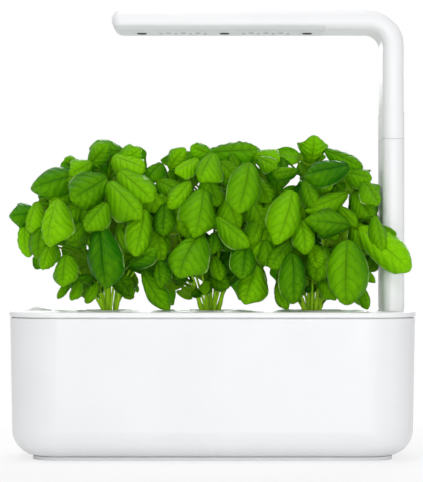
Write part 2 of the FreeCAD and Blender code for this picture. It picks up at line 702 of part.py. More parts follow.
def make_dc_inlet():
    """The low-voltage inlet on the board, with its neck through the casing's back wall."""
    lean = "tan(%s * 1 deg)" % size("casing_draft")
    outside = "(%s - (%s - %s) * %s)" % (HALF_DEPTH, CASING_TOP, size("inlet_z + inlet_high / 2"), lean)
    back = "(%s - %s)" % (outside, size("casing_wall + inlet_slack + inlet_high * 0.02"))
    centre = "%s - %s" % (back, size("inlet_length / 2"))
    low = size("inlet_z - inlet_high / 2")
    housing = block("inlet_housing", INLET_X, centre, low, size("inlet_wide"), size("inlet_length"),
                    size("inlet_high"))

    def along_y(name, radius, start, length):
        rod = bind(doc.addObject("Part::Cylinder", name), {"Radius": radius, "Height": length})
        rod.Placement.Rotation = FreeCAD.Rotation(X_AXIS, -90)
        return place(rod, INLET_X, start, size("inlet_z"))

    neck_end = "(%s - %s)" % (outside, size("inlet_sunk"))
    neck = along_y("inlet_neck", size("inlet_neck"), back, "%s - %s" % (neck_end, back))
    bore_start = "(%s - %s)" % (neck_end, size("inlet_depth"))
    bore = along_y("inlet_bore", size("inlet_bore"), bore_start, size("inlet_depth"))
    pin = along_y("inlet_pin", size("inlet_pin"), bore_start, size("inlet_depth - inlet_sunk"))
    shell = cut("inlet_shell", fuse("inlet_outside", [housing, neck]), [bore])
    return fuse("dc_inlet", [shell, pin])


def bent_lead(start, corner, end, radius, wire):
    """A lead of two straight runs joined by an arc, as a solid; the first run starts square to its end."""
    into, out = (corner - start).normalize(), (end - corner).normalize()
    turn_start, turn_end = corner - into * radius, corner + out * radius
    middle = corner + (out - into) * radius - (out - into).normalize() * radius
    path = Part.Wire([
        Part.makeLine(start, turn_start),
        Part.Arc(turn_start, middle, turn_end).toShape(),
        Part.makeLine(turn_end, end),
    ])
    profile = Part.Wire([Part.makeCircle(wire / 2, start, into)])
    return path.makePipeShell([profile], True, True)


def make_leads(name, start, corner, end, radius):
    """Two like leads, one at each contact strip; the points are pairs of x and z."""
    wire = value(size("lead_diameter"))
    leads = []
    for side in (1, -1):
        across = side * value(size("contact_y"))
        points = [FreeCAD.Vector(value(x), across, value(up)) for x, up in (start, corner, end)]
        leads.append(bent_lead(*points, value(radius), wire))
    feature = doc.addObject("Part::Feature", name)
    feature.Shape = Part.makeCompound(leads)
    return feature


def make_base_leads():
    """Two leads from the control board up to the socket's strips."""
    start = ("(%s - %s)" % (POST_LEFT, size("standoff_length")), size("base_lead_z"))
    corner = (STRIP_X, size("base_lead_z"))
    end = (STRIP_X, "%s - %s" % (SOCKET_BASE, size("contact_tail")))
    return make_leads("base_leads", start, corner, end, size("base_lead_bend"))


# Lid and float


def make_lid():
    """The lid, with a skirt in the casing's mouth, ribs that rest on its edge, and all openings."""
    body = new_body("lid", "0", "0", LID_BASE)
    rim = size("lid_rim")
    plan = draw(body, "lid_plan")
    rounded_rectangle(plan, size("body_width"), size("body_depth"), size("plan_round"))
    pad(body, "lid_form", plan, rim)
    fillet(body, "lid_top_round", level(value(rim)), size("lid_edge_round"))
    chamfer(body, "lid_low_bevel", level(0), size("lid_edge_chamfer"))
    width, depth = "(2 * %s)" % HALF_WIDTH, "(2 * %s)" % HALF_DEPTH
    outer = size("casing_wall + skirt_slack")
    corner = size("plan_round - lid_overhang")
    skirt = draw(body, "skirt_plan")
    rounded_rectangle(skirt, less(width, outer), less(depth, outer), "(%s - %s)" % (corner, outer))
    pad(body, "skirt_form", skirt, size("seam_gap + skirt_depth"), Reversed=True)
    ribs = draw(body, "rib_plan")
    reach = size("skirt_slack + lid_rib_reach + skirt_wall / 2")
    from_wall = size("casing_wall - lid_rib_reach")
    rib_x = size("body_width / 2 - lid_rib_inset")
    for x, y in quarter_spots(rib_x, "(%s - %s - %s / 2)" % (HALF_DEPTH, from_wall, reach)):
        bar(ribs, x, y, size("lid_rib"), reach)
    for side in ("1 * ", "-1 * "):
        bar(ribs, side + "(%s - %s - %s / 2)" % (HALF_WIDTH, from_wall, reach), "0", reach, size("lid_rib"))
    pad(body, "rib_form", ribs, size("seam_gap - seat_gap"), Reversed=True)
    room = draw(body, "lid_room_plan", lift="-1 * " + size("seam_gap + skirt_depth"))
    inner = size("casing_wall + skirt_slack + skirt_wall")
    rounded_rectangle(room, less(width, inner), less(depth, inner), "(%s - %s)" % (corner, inner))
    pocket(body, "lid_room", room, size("seam_gap + skirt_depth + lid_rim - lid_plate"), Reversed=True)
    pods = [(x, "0") for x in POD_SPOTS.values()]
    seats = draw(body, "pod_seat_plan", lift=rim)
    rings(seats, pods, size("pod_flange + pod_slack"))
    pocket(body, "pod_seats", seats, size("pod_flange_height"))
    holes = draw(body, "pod_hole_plan", lift=rim)
    rings(holes, pods, size("pod_mouth + pod_slack"))
    pocket(body, "pod_holes", holes, rim)
    filler = draw(body, "filler_plan", x=size("filler_inset - body_width / 2"), lift=rim)
    rounded_rectangle(filler, size("filler_length"), size("filler_width"), size("filler_round"))
    pocket(body, "filler_slot", filler, rim)
    mast = draw(body, "mast_slot_plan", x=MAST_X, lift=rim)
    section(mast, (MAST_THICK, MAST_WIDE, MAST_ROUND), "-1 * " + size("mast_slot_slack"))
    pocket(body, "mast_slot", mast, rim)
    return body


FLOAT_X = size("float_inset - body_width / 2")
FLOAT_TOP = LID_TOP + " + " + size("float_rise")
CAP_BASE = FLOAT_TOP + " - " + size("float_crown + float_rim")
STEM_BASE = CAP_BASE + " - " + size("float_stem_length")


def make_float_guide():
    """The cage under the filling slot that the float rides in."""
    outer = size("float_block + guide_slack + guide_wall")
    roof = "(%s - %s)" % (LID_TOP, size("lid_plate"))
    low = "(%s - %s)" % (roof, size("guide_length"))
    length = size("guide_length")
    tube = disc("guide_tube", FLOAT_X, "0", low, outer, length)
    lug_low = "%s - %s" % (roof, size("guide_lug_height"))
    lug_y = "(%s + %s)" % (outer, size("guide_lug / 2 - guide_wall / 2"))
    lugs = [
        block("guide_lug_%s" % word, FLOAT_X, side + lug_y, lug_low, size("guide_lug"), size("guide_lug"),
              size("guide_lug_height"))
        for word, side in (("back", "1 * "), ("front", "-1 * "))
    ]
    bore = disc("guide_bore", FLOAT_X, "0", low, size("float_block + guide_slack"), length)
    sill = "%s + %s" % (low, size("guide_sill"))
    window, tall, across = size("guide_window"), size("guide_length - 2 * guide_sill"), "(3 * %s)" % outer
    windows = [
        block("guide_window_x", FLOAT_X, "0", sill, across, window, tall),
        block("guide_window_y", FLOAT_X, "0", sill, window, across, tall),
    ]
    return cut("float_guide", fuse("guide_outside", [tube] + lugs), [bore] + windows)


def make_float_cap():
    """The float's cap: a low dome over a short edge."""
    radius, crown = size("float_cap"), size("float_crown")
    ball_radius = size("(float_cap * float_cap + float_crown * float_crown) / (2 * float_crown)")
    rim_top = CAP_BASE + " + " + size("float_rim")
    ball = place(bind(doc.addObject("Part::Sphere", "cap_ball"), {"Radius": ball_radius}), FLOAT_X, "0",
                 "%s - %s" % (FLOAT_TOP, ball_radius))
    dome = doc.addObject("Part::Common", "cap_dome")
    dome.Base = disc("cap_column", FLOAT_X, "0", rim_top, radius, crown)
    dome.Tool = ball
    rim = disc("cap_rim", FLOAT_X, "0", CAP_BASE, radius, size("float_rim"))
    return fuse("float_cap", [rim, dome])


def make_float_stem():
    """The rod between the float's cap and its block."""
    return disc("float_stem", FLOAT_X, "0", STEM_BASE, size("float_stem"), size("float_stem_length"))


def make_float_block():
    """The block that floats."""
    height = size("float_block_height")
    return disc("float_block", FLOAT_X, "0", "%s - %s" % (STEM_BASE, height), size("float_block"), height)


# Plant pods
def make_pod_cup(name, x):
    """A cup with a flange, slots round its lower wall and a slot for its wick; its top is its origin."""
    body = new_body("pod_cup_" + name, x, "0", POD_TOP)
    profile = draw(body, "cup_profile_" + name, "XZ_Plane")
    under, wall, low = "-1 * " + size("pod_flange_height"), size("pod_wall"), "-1 * " + size("pod_depth")
    outline(profile, (
        ("0", low), (size("pod_foot"), low), (size("pod_mouth"), under), (size("pod_flange"), under),
        (size("pod_flange"), "0"), (size("pod_mouth - pod_wall"), "0"),
        (size("pod_foot - pod_wall"), low + " + " + wall), ("0", low + " + " + wall),
    ))
    revolve(body, "cup_form_" + name, profile)
    slot = draw(body, "cup_slot_plan_" + name, "XZ_Plane")
    bar(slot, "0", "%s + %s" % (low, size("pod_slot_low + pod_slot_height / 2")), size("pod_slot_width"),
        size("pod_slot_height"))
    slot_cut = pocket(body, "cup_slot_" + name, slot, size("pod_mouth"))
    pattern = body.newObject("PartDesign::PolarPattern", "cup_slots_" + name)
    pattern.Originals = [slot_cut]
    pattern.Axis = (datum(body, "Z_Axis"), [""])
    pattern.Angle = 360
    pattern.setExpression("Occurrences", size("pod_slots"))
    body.Tip = pattern
    doc.recompute()
    wick = draw(body, "cup_wick_plan_" + name, lift=low)
    bar(wick, "0", "0", less(size("wick_width"), "-1 * " + size("wick_slack")),
        less(size("wick_thickness"), "-1 * " + size("wick_slack")))
    pocket(body, "cup_wick_slot_" + name, wick, wall, Reversed=True)
    return body


MEDIUM_TOP = POD_TOP + " - " + size("medium_drop")
MEDIUM_BASE = POD_TOP + " - " + size("pod_depth - pod_wall")


def make_growing_medium(name, x):
    """The plug of growing medium that fills a cup."""
    lean = size("(pod_mouth - pod_foot) / (pod_depth - pod_flange_height)")
    inside = "(%s)" % size("pod_foot - pod_wall - medium_slack")
    height = size("pod_depth - pod_wall - medium_drop")
    plug = bind(doc.addObject("Part::Cone", "growing_medium_" + name), {
        "Radius1": inside,
        "Radius2": "%s + %s * %s" % (inside, height, lean),
        "Height": height,
    })
    return place(plug, x, "0", MEDIUM_BASE)


def make_pod_cover(name, x):
    """The ring that covers the medium round the planting hole."""
    ring_disc = disc("cover_disc_" + name, x, "0", MEDIUM_TOP, size("pod_mouth - pod_wall - cover_slack"),
                     size("cover_plate"))
    hole = disc("cover_hole_" + name, x, "0", MEDIUM_TOP, size("cover_hole"), size("cover_plate"))
    return cut("pod_cover_" + name, ring_disc, [hole])


def make_wick(name, x):
    """The wick that hangs from the medium into the water."""
    low = "%s - %s" % (MEDIUM_BASE, size("wick_length"))
    return block("wick_" + name, x, "0", low, size("wick_width"), size("wick_thickness"), size("wick_length"))


# Mast
def make_mast_extension():
    """The hollow mast, with a spigot below its floor and a room for the lamp's spigot at its top."""
    body = new_body("mast_extension", MAST_X, "0", MAST_BASE)
    outer = (MAST_THICK, MAST_WIDE, MAST_ROUND)
    plan = draw(body, "mast_plan")
    section(plan, outer, "0")
    pad(body, "mast_form", plan, size("mast_length"))
    spigot = draw(body, "spigot_plan")
    section(spigot, SPIGOT, "0")
    pad(body, "spigot_form", spigot, size("spigot_length"), Reversed=True)
    room = draw(body, "mast_room_plan", lift=size("mast_length"))
    section(room, outer, size("mast_wall"))
    pocket(body, "mast_room", room, size("mast_length - web_thick"))
    spigot_room = draw(body, "spigot_room_plan", lift="-1 * " + size("spigot_length"))
    section(spigot_room, SPIGOT, size("spigot_wall"))
    pocket(body, "spigot_room", spigot_room, size("spigot_length"), Reversed=True)
    strip_slots(body, "mast_slots", "0", size("web_thick"), size("web_thick"))
    return body


def make_contact_carriers():
    """Two blocks that hold the strips, one in the mast's spigot and one under its upper room."""
    slack = size("carrier_slack")
    places = (
        ("carrier_low", "%s - %s" % (MAST_BASE, size("spigot_length")), SPIGOT,
         size("spigot_wall + carrier_slack"), "0"),
        ("carrier_high", "%s - %s" % (MAST_TOP, size("socket_depth + carrier_height")),
         (MAST_THICK, MAST_WIDE, MAST_ROUND), size("mast_wall + carrier_slack"), size("contact_step")),
    )
    carriers = []
    for name, low, outer, inset, strip_x in places:
        body = new_body(name, MAST_X, "0", low)
        plan = draw(body, name + "_plan")
        section(plan, outer, inset)
        pad(body, name + "_form", plan, size("carrier_height"))
        strip_slots(body, name + "_slots", strip_x, size("carrier_height"), size("carrier_height"))
        carriers.append(body)
    return group("contact_carriers", carriers)


def make_extension_contacts():
    """Two strips through the mast, with a step so that each end lies beside its neighbour."""
    half, step = size("contact_thick / 2"), size("contact_step")
    low = "-1 * " + size("spigot_length + contact_reach")
    jog = size("mast_length - socket_depth - carrier_height - contact_jog")
    jog_top = jog + " + " + size("contact_thick")
    top = size("mast_length - socket_depth + contact_rise")
    made = []
    for word, side in (("back", "1 * "), ("front", "-1 * ")):
        body = new_body("mast_strip_" + word, MAST_X, side + size("contact_y"), MAST_BASE)
        profile = draw(body, "mast_strip_profile_" + word, "XZ_Plane")
        outline(profile, (
            ("-1 * " + half, low), (half, low), (half, jog), ("%s + %s" % (step, half), jog),
            ("%s + %s" % (step, half), top), ("%s - %s" % (step, half), top),
            ("%s - %s" % (step, half), jog_top), ("-1 * " + half, jog_top),
        ))
        pad(body, "mast_strip_form_" + word, profile, size("contact_wide"), SideType="Symmetric")
        made.append(body)
    return group("extension_contacts", made)


# Lamp arm
def make_band(name, inset, low):
    """The lamp arm's outline, drawn in by an inset, as a solid with round long edges."""
    body = new_body(name)
    profile = draw(body, name + "_profile", "XZ_Plane")
    inner_side = "%s - %s + %s" % (MAST_X, size("arm_thick / 2"), inset)
    outer_side = "%s + %s - %s" % (MAST_X, size("arm_thick / 2"), inset)
    top, under = size("arm_top") + " - " + inset, ARM_UNDER + " + " + inset
    left = ARM_LEFT + " + " + inset
    outline(profile, (
        (inner_side, low), (outer_side, low), (outer_side, top), (left, top), (left, under),
        (inner_side, under),
    ))
    wide = less(size("arm_wide"), inset)
    pad(body, name + "_form", profile, wide, SideType="Symmetric")

    def corner(x, up):
        spot = (value(x), value(up))

        def chosen(edge):
            box = edge.BoundBox
            flat = box.XLength < SAME and box.ZLength < SAME
            return flat and abs(box.XMin - spot[0]) < SAME and abs(box.ZMin - spot[1]) < SAME
        return chosen

    thick = size("arm_thick")
    bend = size("arm_bend")
    fillet(body, name + "_outer_bend", corner(outer_side, top), "%s + %s - %s" % (bend, thick, inset))
    fillet(body, name + "_inner_bend", corner(inner_side, under), "%s + %s" % (bend, inset))

    def nose(edge):
        return corner(left, top)(edge) or corner(left, under)(edge)

    fillet(body, name + "_nose", nose, "%s - %s" % (size("arm_nose"), inset))
    side, bottom = value(wide) / 2, value(low)

    def long_edge(edge):
        box = edge.BoundBox
        on_side = box.YLength < SAME and abs(abs(box.YMin) - side) < SAME
        return on_side and not level(bottom)(edge)

    fillet(body, name + "_long_edges", long_edge, "%s - %s" % (size("arm_round"), inset))
    return body


LAMP_SCREW_X = ["(%s + %s)" % (LAMP_MIDDLE, size("%d * lamp_screw_pitch" % number)) for number in (-1, 0, 1)]
LED_SPOTS = [
    ("(%s + %s)" % (LAMP_MIDDLE, size("%s * lamp_screw_pitch + %d * led_pitch" % (half, number))),
     "%d * %s" % (1 if number % 2 else -1, size("led_stagger")), number % 2 == 0)
    for half in (-0.5, 0.5) for number in range(-3, 4)
]


def make_lamp_arm_shell(tube):
    """The arm's shell without its lower cover, with three posts for the cover's screws."""
    gap = size("cover_gap")
    length = size("arm_reach - cover_reach + cover_gap + arm_thick")
    middle = "%s + %s - %s / 2" % (COVER_RIGHT, gap, length)
    opening = block("cover_opening", middle, "0", "%s - %s" % (ARM_UNDER, size("arm_thick")), "(%s)" % length,
                    size("arm_wide + 2 * arm_wall"), size("arm_thick + cover_height + cover_gap"))
    bare = cut("arm_open_tube", tube, [opening])
    sink_top = SINK_BASE + " + " + size("sink_thick")
    height = "(%s - (%s))" % (size("arm_top - arm_wall / 2"), sink_top)
    depth = size("lamp_well_depth + lamp_screw_length + lamp_screw_spare - lamp_boss_height - board_thick"
                 " - sink_thick")
    posts, pilots = [], []
    for number, x in enumerate(LAMP_SCREW_X):
        posts.append(disc("lamp_post_%d" % number, x, "0", sink_top, size("lamp_post"), height))
        pilots.append(disc("lamp_pilot_%d" % number, x, "0", sink_top, SHANK_HOLE, depth))
    return cut("lamp_arm_shell", fuse("arm_with_posts", [bare] + posts), pilots)


def make_lamp_lower_cover(tube):
    """The cover under the lamp: a shallow tray with three screw wells and a window for each emitter."""
    length = size("arm_reach - cover_reach + arm_thick")
    middle = "%s - %s / 2" % (COVER_RIGHT, length)
    zone = block("cover_zone", middle, "0", "%s - %s" % (ARM_UNDER, size("arm_thick")), "(%s)" % length,
                 size("arm_wide + 2 * arm_wall"), size("arm_thick + cover_height"))
    tray = doc.addObject("Part::Common", "cover_tray")
    tray.Base = tube
    tray.Tool = zone
    bosses, holes = [], []
    for number, x in enumerate(LAMP_SCREW_X):
        boss, well = size("lamp_boss_height"), size("lamp_well_depth")
        bosses.append(disc("lamp_boss_%d" % number, x, "0", ARM_UNDER, size("lamp_boss"), boss))
        holes.append(disc("lamp_well_%d" % number, x, "0", ARM_UNDER, size("lamp_well"), well))
        holes.append(disc("lamp_hole_%d" % number, x, "0", ARM_UNDER, SHANK_HOLE, boss))
    for number, (x, y, large) in enumerate(LED_SPOTS):
        radius = size("led_large") if large else size("led_small")
        holes.append(disc("led_window_%d" % number, x, y, ARM_UNDER, radius, size("arm_wall")))
    return cut("lamp_lower_cover", fuse("cover_with_bosses", [tray] + bosses), holes)


def make_led_lenses():
    """A lens in each window: a plug with a shallow cone below it."""
    lenses = []
    for number, (x, y, large) in enumerate(LED_SPOTS):
        radius = size("led_large - lens_slack") if large else size("led_small - lens_slack")
        plug = disc("lens_plug_%d" % number, x, y, ARM_UNDER, radius, size("arm_wall"))
        crown = bind(doc.addObject("Part::Cone", "lens_crown_%d" % number), {
            "Radius1": radius + " / 2", "Radius2": radius, "Height": size("lens_crown"),
        })
        place(crown, x, y, "%s - %s" % (ARM_UNDER, size("lens_crown")))
        lenses.append(fuse("led_lens_%d" % number, [plug, crown]))
    return group("led_lenses", lenses)


def make_leds():
    """The emitters under their board."""
    low = "%s - %s" % (BOARD_BASE, size("led_height"))
    packages = []
    for number, (x, y, large) in enumerate(LED_SPOTS):
        width = size("led_side") if large else size("led_side * 0.7")
        packages.append(block("led_%d" % number, x, y, low, size("led_side"), width, size("led_height")))
    return group("leds", packages)


def lamp_plate(name, low, thick, right):
    """A plate inside the lamp with a hole for each screw."""
    left = "(%s + %s)" % (ARM_LEFT, size("board_end"))
    length = "(%s - %s)" % (right, left)
    middle = "%s + %s / 2" % (left, length)
    plate = block(name + "_plate", middle, "0", low, length, size("board_width"), thick)
    holes = [
        disc("%s_hole_%d" % (name, number), x, "0", low, SHANK_HOLE, thick)
        for number, x in enumerate(LAMP_SCREW_X)
    ]
    return cut(name, plate, holes)


BOARD_RIGHT = "(%s - %s)" % (COVER_RIGHT, size("board_end"))


def make_led_board():
    """The board that carries the emitters."""
    return lamp_plate("led_board", BOARD_BASE, size("board_thick"), BOARD_RIGHT)


def make_heat_spreader():
    """The plate that takes the emitters' heat, short of the lead connector."""
    right = "(%s - %s)" % (BOARD_RIGHT, size("plug_block + sink_gap"))
    return lamp_plate("heat_spreader", SINK_BASE, size("sink_thick"), right)


def make_lead_connectors():
    """The two connectors at the right end of the emitter board, one for each lead."""
    blocks = []
    for name, side in (("front", "-1 * "), ("back", "1 * ")):
        blocks.append(block("connector_" + name, "%s - %s" % (BOARD_RIGHT, size("plug_block / 2")),
                            side + size("contact_y"), SINK_BASE,
                            size("plug_block"), size("plug_block_width"), size("plug_block_height")))
    return group("lead_connectors", blocks)


def make_lamp_screws():
    """Three screws that hold the lower cover, board and heat spreader to the arm's posts."""
    low = "%s + %s" % (ARM_UNDER, size("lamp_well_depth - screw_head_height"))
    return group("lamp_screws", [
        screw("lamp_screw_%d" % number, x, "0", low, size("lamp_screw_length"))
        for number, x in enumerate(LAMP_SCREW_X)
    ])


def make_lamp_plugs():
    """A plug over each screw's head, with a crown below the cover."""
    plugs = []
    for number, x in enumerate(LAMP_SCREW_X):
        radius = size("lamp_well - lamp_plug_slack")
        body = disc("plug_body_%d" % number, x, "0", ARM_UNDER, radius, size("lamp_plug_inside"))
        crown = bind(doc.addObject("Part::Cone", "plug_crown_%d" % number), {
            "Radius1": "%s - %s" % (radius, size("lamp_plug_bevel")), "Radius2": radius,
            "Height": size("lamp_plug_crown"),
        })
        place(crown, x, "0", "%s - %s" % (ARM_UNDER, size("lamp_plug_crown")))
        plugs.append(fuse("lamp_plug_%d" % number, [body, crown]))
    return group("lamp_plugs", plugs)


def make_lamp_collar():
    """The foot of the lamp arm, with a spigot up into the arm and one down into the mast."""
    body = new_body("lamp_collar", MAST_X, "0", COLLAR_BASE)
    outer = (MAST_THICK, MAST_WIDE, MAST_ROUND)
    plan = draw(body, "collar_plan")
    section(plan, outer, "0")
    pad(body, "collar_form", plan, size("collar_height"))
    top = draw(body, "collar_top_plan", lift=size("collar_height"))
    section(top, outer, size("mast_proud + arm_wall + carrier_slack"))
    pad(body, "collar_top_form", top, size("collar_spigot"))
    spigot = draw(body, "collar_spigot_plan")
    section(spigot, SPIGOT, "0")
    pad(body, "collar_spigot_form", spigot, size("spigot_length"), Reversed=True)
    lift = size("collar_height + collar_spigot")
    strip_slots(body, "collar_slots", "0", lift, size("collar_height + collar_spigot + spigot_length"))
    return body


def make_lamp_contacts():
    """Two strips from the leads through the collar, with blades below its spigot."""
    low = "%s - %s" % (COLLAR_BASE, size("spigot_length + contact_reach"))
    height = size("contact_reach + spigot_length + collar_height + collar_spigot")
    return strips("lamp_contacts", MAST_X, low, height)


def make_lamp_leads():
    """Two leads from the connector along the arm and down to the collar's strips."""
    up = "%s + %s" % (SINK_BASE, size("plug_block_height / 2"))
    end = "%s + %s" % (ARM_BASE, size("collar_spigot"))
    return make_leads("lamp_leads", (BOARD_RIGHT, up), (MAST_X, up), (MAST_X, end), size("lead_bend"))


# Plants
GROWTH = value(POD_PITCH) / value(size("plant_pitch"))
# A leaf is its base, its tip and its width; x, y and z are from the middle of the pod, at the lid's top
LEAVES = {
    "left": (
        ((9, -2, 121), (-13, -8, 123), 17), ((5, -14, 116), (29, -24, 107), 27),
        ((-13, -25, 111), (-27, -33, 103), 15), ((-24, -5, 112), (-33, -8, 115), 8),
        ((-22, -17, 103), (-57, -24, 93), 23), ((-1, -40, 99), (-25, -50, 84), 25),
        ((-37, -34, 82), (-43, -45, 50), 25), ((-54, -14, 81), (-59, -22, 60), 15),
        ((-63, -3, 68), (-62, -8, 42), 14), ((-42, -28, 50), (-48, -33, 32), 12),
        ((-30, -42, 41), (-32, -48, 20), 18), ((-28, 6, 73), (-40, 6, 66), 11),
        ((-1, -44, 80), (-15, -52, 62), 19), ((-17, -26, 66), (-30, -34, 54), 13),
        ((-4, -46, 60), (1, -55, 20), 25), ((3, -42, 95), (25, -51, 70), 22),
        ((6, -28, 82), (21, -35, 65), 13), ((10, -28, 104), (34, -38, 83), 21),
        ((28, -42, 74), (22, -50, 43), 18), ((9, -30, 61), (16, -35, 46), 9),
        ((18, -36, 36), (36, -46, 46), 13), ((-30, -20, 21), (-38, -24, 10), 6),
        ((-21, -34, 22), (-26, -38, 9), 9), ((-8, -22, 20), (-16, -28, 7), 8),
        ((17, -14, 19), (19, -18, 12), 4), ((-6, 17, 84), (-13, 21, 60), 14),
        ((26, 14, 86), (32, 18, 62), 18),
        ((-24, 17, 58), (-33, 20, 38), 17),
        ((24, 37, 96), (29, 45, 70), 18), ((26, 36, 56), (30, 44, 32), 18),
        ((-26, 38, 48), (-30, 46, 26), 18), ((12, 28, 116), (26, 34, 106), 16),
    ),
    "middle": (
        ((4, -2, 117), (38, -13, 120), 17), ((-12, -4, 119), (-30, -12, 116), 15),
        ((-24, 8, 119), (-37, 7, 115), 9), ((-37, -8, 111), (-48, -12, 99), 17),
        ((-10, -22, 114), (-26, -30, 104), 14), ((2, -36, 117), (-8, -45, 98), 21),
        ((16, -14, 118), (21, -19, 107), 10), ((-16, -30, 96), (-30, -38, 79), 14),
        ((-5, -42, 89), (-11, -54, 57), 27), ((-34, -26, 79), (-35, -38, 58), 17),
        ((-8, -44, 56), (-21, -55, 27), 30), ((-38, -34, 37), (-36, -40, 19), 14),
        ((-49, -26, 29), (-32, -37, 2), 15), ((29, -40, 109), (21, -50, 75), 23),
        ((6, -42, 69), (29, -52, 50), 16), ((25, -40, 50), (23, -50, 26), 19),
        ((34, -34, 33), (26, -46, 7), 22), ((3, -34, 58), (2, -40, 44), 12),
        ((37, -24, 115), (50, -30, 108), 13),
        ((37, -22, 70), (30, -30, 52), 13),
        ((-2, -22, 22), (-4, -28, 13), 8), ((4, -26, 40), (8, -32, 24), 11),
        ((-40, -10, 68), (-44, -16, 46), 14),
        ((6, 16, 104), (12, 19, 84), 16), ((39, 3, 103), (44, 1, 84), 14),
        ((42, -4, 80), (47, -9, 58), 13), ((-14, 17, 88), (-22, 21, 64), 18),
        ((22, 16, 92), (27, 20, 68), 18), ((-14, 17, 58), (-16, 21, 36), 15),
        ((18, 17, 56), (24, 21, 34), 16), ((-26, 16, 60), (-32, 20, 40), 16),
        ((-24, 24, 98), (-34, 32, 80), 18), ((14, 38, 66), (22, 46, 42), 20),
        ((-14, 26, 112), (-28, 32, 102), 16), ((32, 30, 60), (36, 40, 38), 16),
    ),
    "right": (
        ((0, -2, 114), (2, -10, 132), 21), ((-8, 6, 116), (-28, 4, 120), 13),
        ((25, -34, 109), (-6, -46, 102), 20), ((22, -6, 116), (38, -14, 106), 10),
        ((41, -24, 97), (52, -34, 80), 17), ((43, -5, 88), (46, -10, 70), 10),
        ((46, -37, 70), (51, -45, 45), 13), ((45, -32, 54), (71, -47, 35), 24),
        ((25, -46, 51), (23, -56, 8), 28), ((-16, -44, 88), (-27, -54, 52), 24),
        ((-16, -42, 42), (-15, -52, 8), 19), ((25, -38, 65), (-3, -48, 68), 21),
        ((-9, -36, 67), (-6, -46, 44), 16), ((0, -26, 49), (4, -34, 33), 13),
        ((25, -22, 88), (-4, -32, 76), 15), ((-6, -26, 97), (1, -34, 78), 13),
        ((-19, -32, 50), (-32, -42, 33), 16), ((-12, -17, 106), (-29, -24, 103), 11),
        ((-30, -12, 92), (-34, -16, 80), 8), ((-27, -26, 18), (-20, -34, 1.5), 10),
        ((36, -26, 19), (41, -32, 1.5), 9), ((6, -22, 24), (17, -30, 9), 11),
        ((20, -26, 78), (33, -33, 64), 11), ((40, -20, 31), (47, -24, 22), 6),
        ((4, 14, 112), (10, 18, 94), 15), ((34, 14, 86), (44, 18, 62), 18),
        ((50, -30, 64), (63, -34, 57), 7),
        ((-14, 17, 94), (-22, 21, 70), 18),
        ((20, 16, 70), (25, 20, 48), 14), ((8, 39, 92), (2, 48, 66), 20),
        ((36, 29, 96), (47, 37, 78), 18), ((-18, 36, 44), (-22, 46, 20), 18),
    ),
}
# Stems as (foot, head), measured as the leaves are
STEMS = {
    "left": (
        ((-4, -3, 0), (-22, -9, 88)), ((-1, 2, 0), (-1, -1, 102)), ((5, -2, 0), (18, -6, 84)),
        ((-3, 5, 0), (-16, 10, 78)), ((4, 4, 0), (12, 11, 80)),
    ),
    "middle": (
        ((-6, -2, 0), (-30, -7, 82)), ((-2, 3, 0), (-6, -1, 99)), ((3, -3, 0), (10, -8, 100)),
        ((6, 2, 0), (27, -3, 92)), ((0, 7, 0), (4, 12, 76)),
    ),
    "right": (
        ((-5, -2, 0), (-22, -7, 84)), ((-1, 3, 0), (-3, 0, 97)), ((3, -3, 0), (14, -7, 90)),
        ((6, 2, 0), (30, -4, 76)), ((0, 7, 0), (5, 12, 80)),
    ),
}


def vector(point):
    """A point of a table as a vector, at the plants' size for the step from pod to pod."""
    return FreeCAD.Vector(*point) * GROWTH


def unit(direction):
    """A direction of length one."""
    return direction * (1 / direction.Length)


def faceted(corners, faces):
    """A solid from corners and its triangles."""
    triangles = []
    for face in faces:
        a, b, c = (corners[number] for number in face)
        triangles.append(Part.Face(Part.makePolygon([a, b, c, a])))
    solid = Part.makeSolid(Part.makeShell(triangles))
    if solid.Volume < 0:
        solid.reverse()
    return solid


def lofted(rings):
    """A closed solid through rings of like many corners; its first and last rings are closed by fans."""
    corners = [corner for ring_corners in rings for corner in ring_corners]
    count = len(rings[0])
    faces = []
    for level_number in range(len(rings) - 1):
        for number in range(count):
            a, b = level_number * count + number, level_number * count + (number + 1) % count
            faces += [(a, b, b + count), (a, b + count, a + count)]
    last = len(corners) - count
    for number in range(1, count - 1):
        faces += [(0, number + 1, number), (last, last + number, last + number + 1)]
    return faceted(corners, faces)


def stem_point(foot, head, height):
    """Where a stem's middle line is at a height."""
    share = (height - foot.z) / (head.z - foot.z)
    return foot + (head - foot) * share


def make_stem(foot, head, foot_radius, head_radius):
    """A straight six-sided stem that tapers to its head, flat at its foot."""
    axis = unit(head - foot)
    rings = []
    for centre, radius, square in ((foot, foot_radius, Z_AXIS), (head, head_radius, axis)):
        across = unit(Y_AXIS.cross(square))
        along = unit(square.cross(across))
        angles = [math.radians(60 * number) for number in range(6)]
        rings.append([centre + (across * math.cos(a) + along * math.sin(a)) * radius for a in angles])
    return lofted(rings)


def stalk_root(base, stems, radii, half, slack):
    """The start of a leaf's stalk: beside the nearest stem, a little below the leaf's base."""
    best, best_gap, best_side, best_radius, best_lean = None, None, None, None, None
    for foot, head in stems:
        reach = (base - stem_point(foot, head, base.z)).Length
        height = min(max(base.z - 0.45 * reach, foot.z + 6), head.z - 3)
        centre, axis = stem_point(foot, head, height), unit(head - foot)
        gap = base - centre
        if best is None or gap.Length < best_gap:
            best, best_gap = centre, gap.Length
            best_side = unit(gap - axis * gap.dot(axis))
            best_radius = radii[0] + (radii[1] - radii[0]) * (height - foot.z) / (head.z - foot.z)
            best_lean = math.sqrt(1 - best_side.dot(unit(gap)) ** 2)
    return best + best_side * (best_radius + slack + best_lean * half)


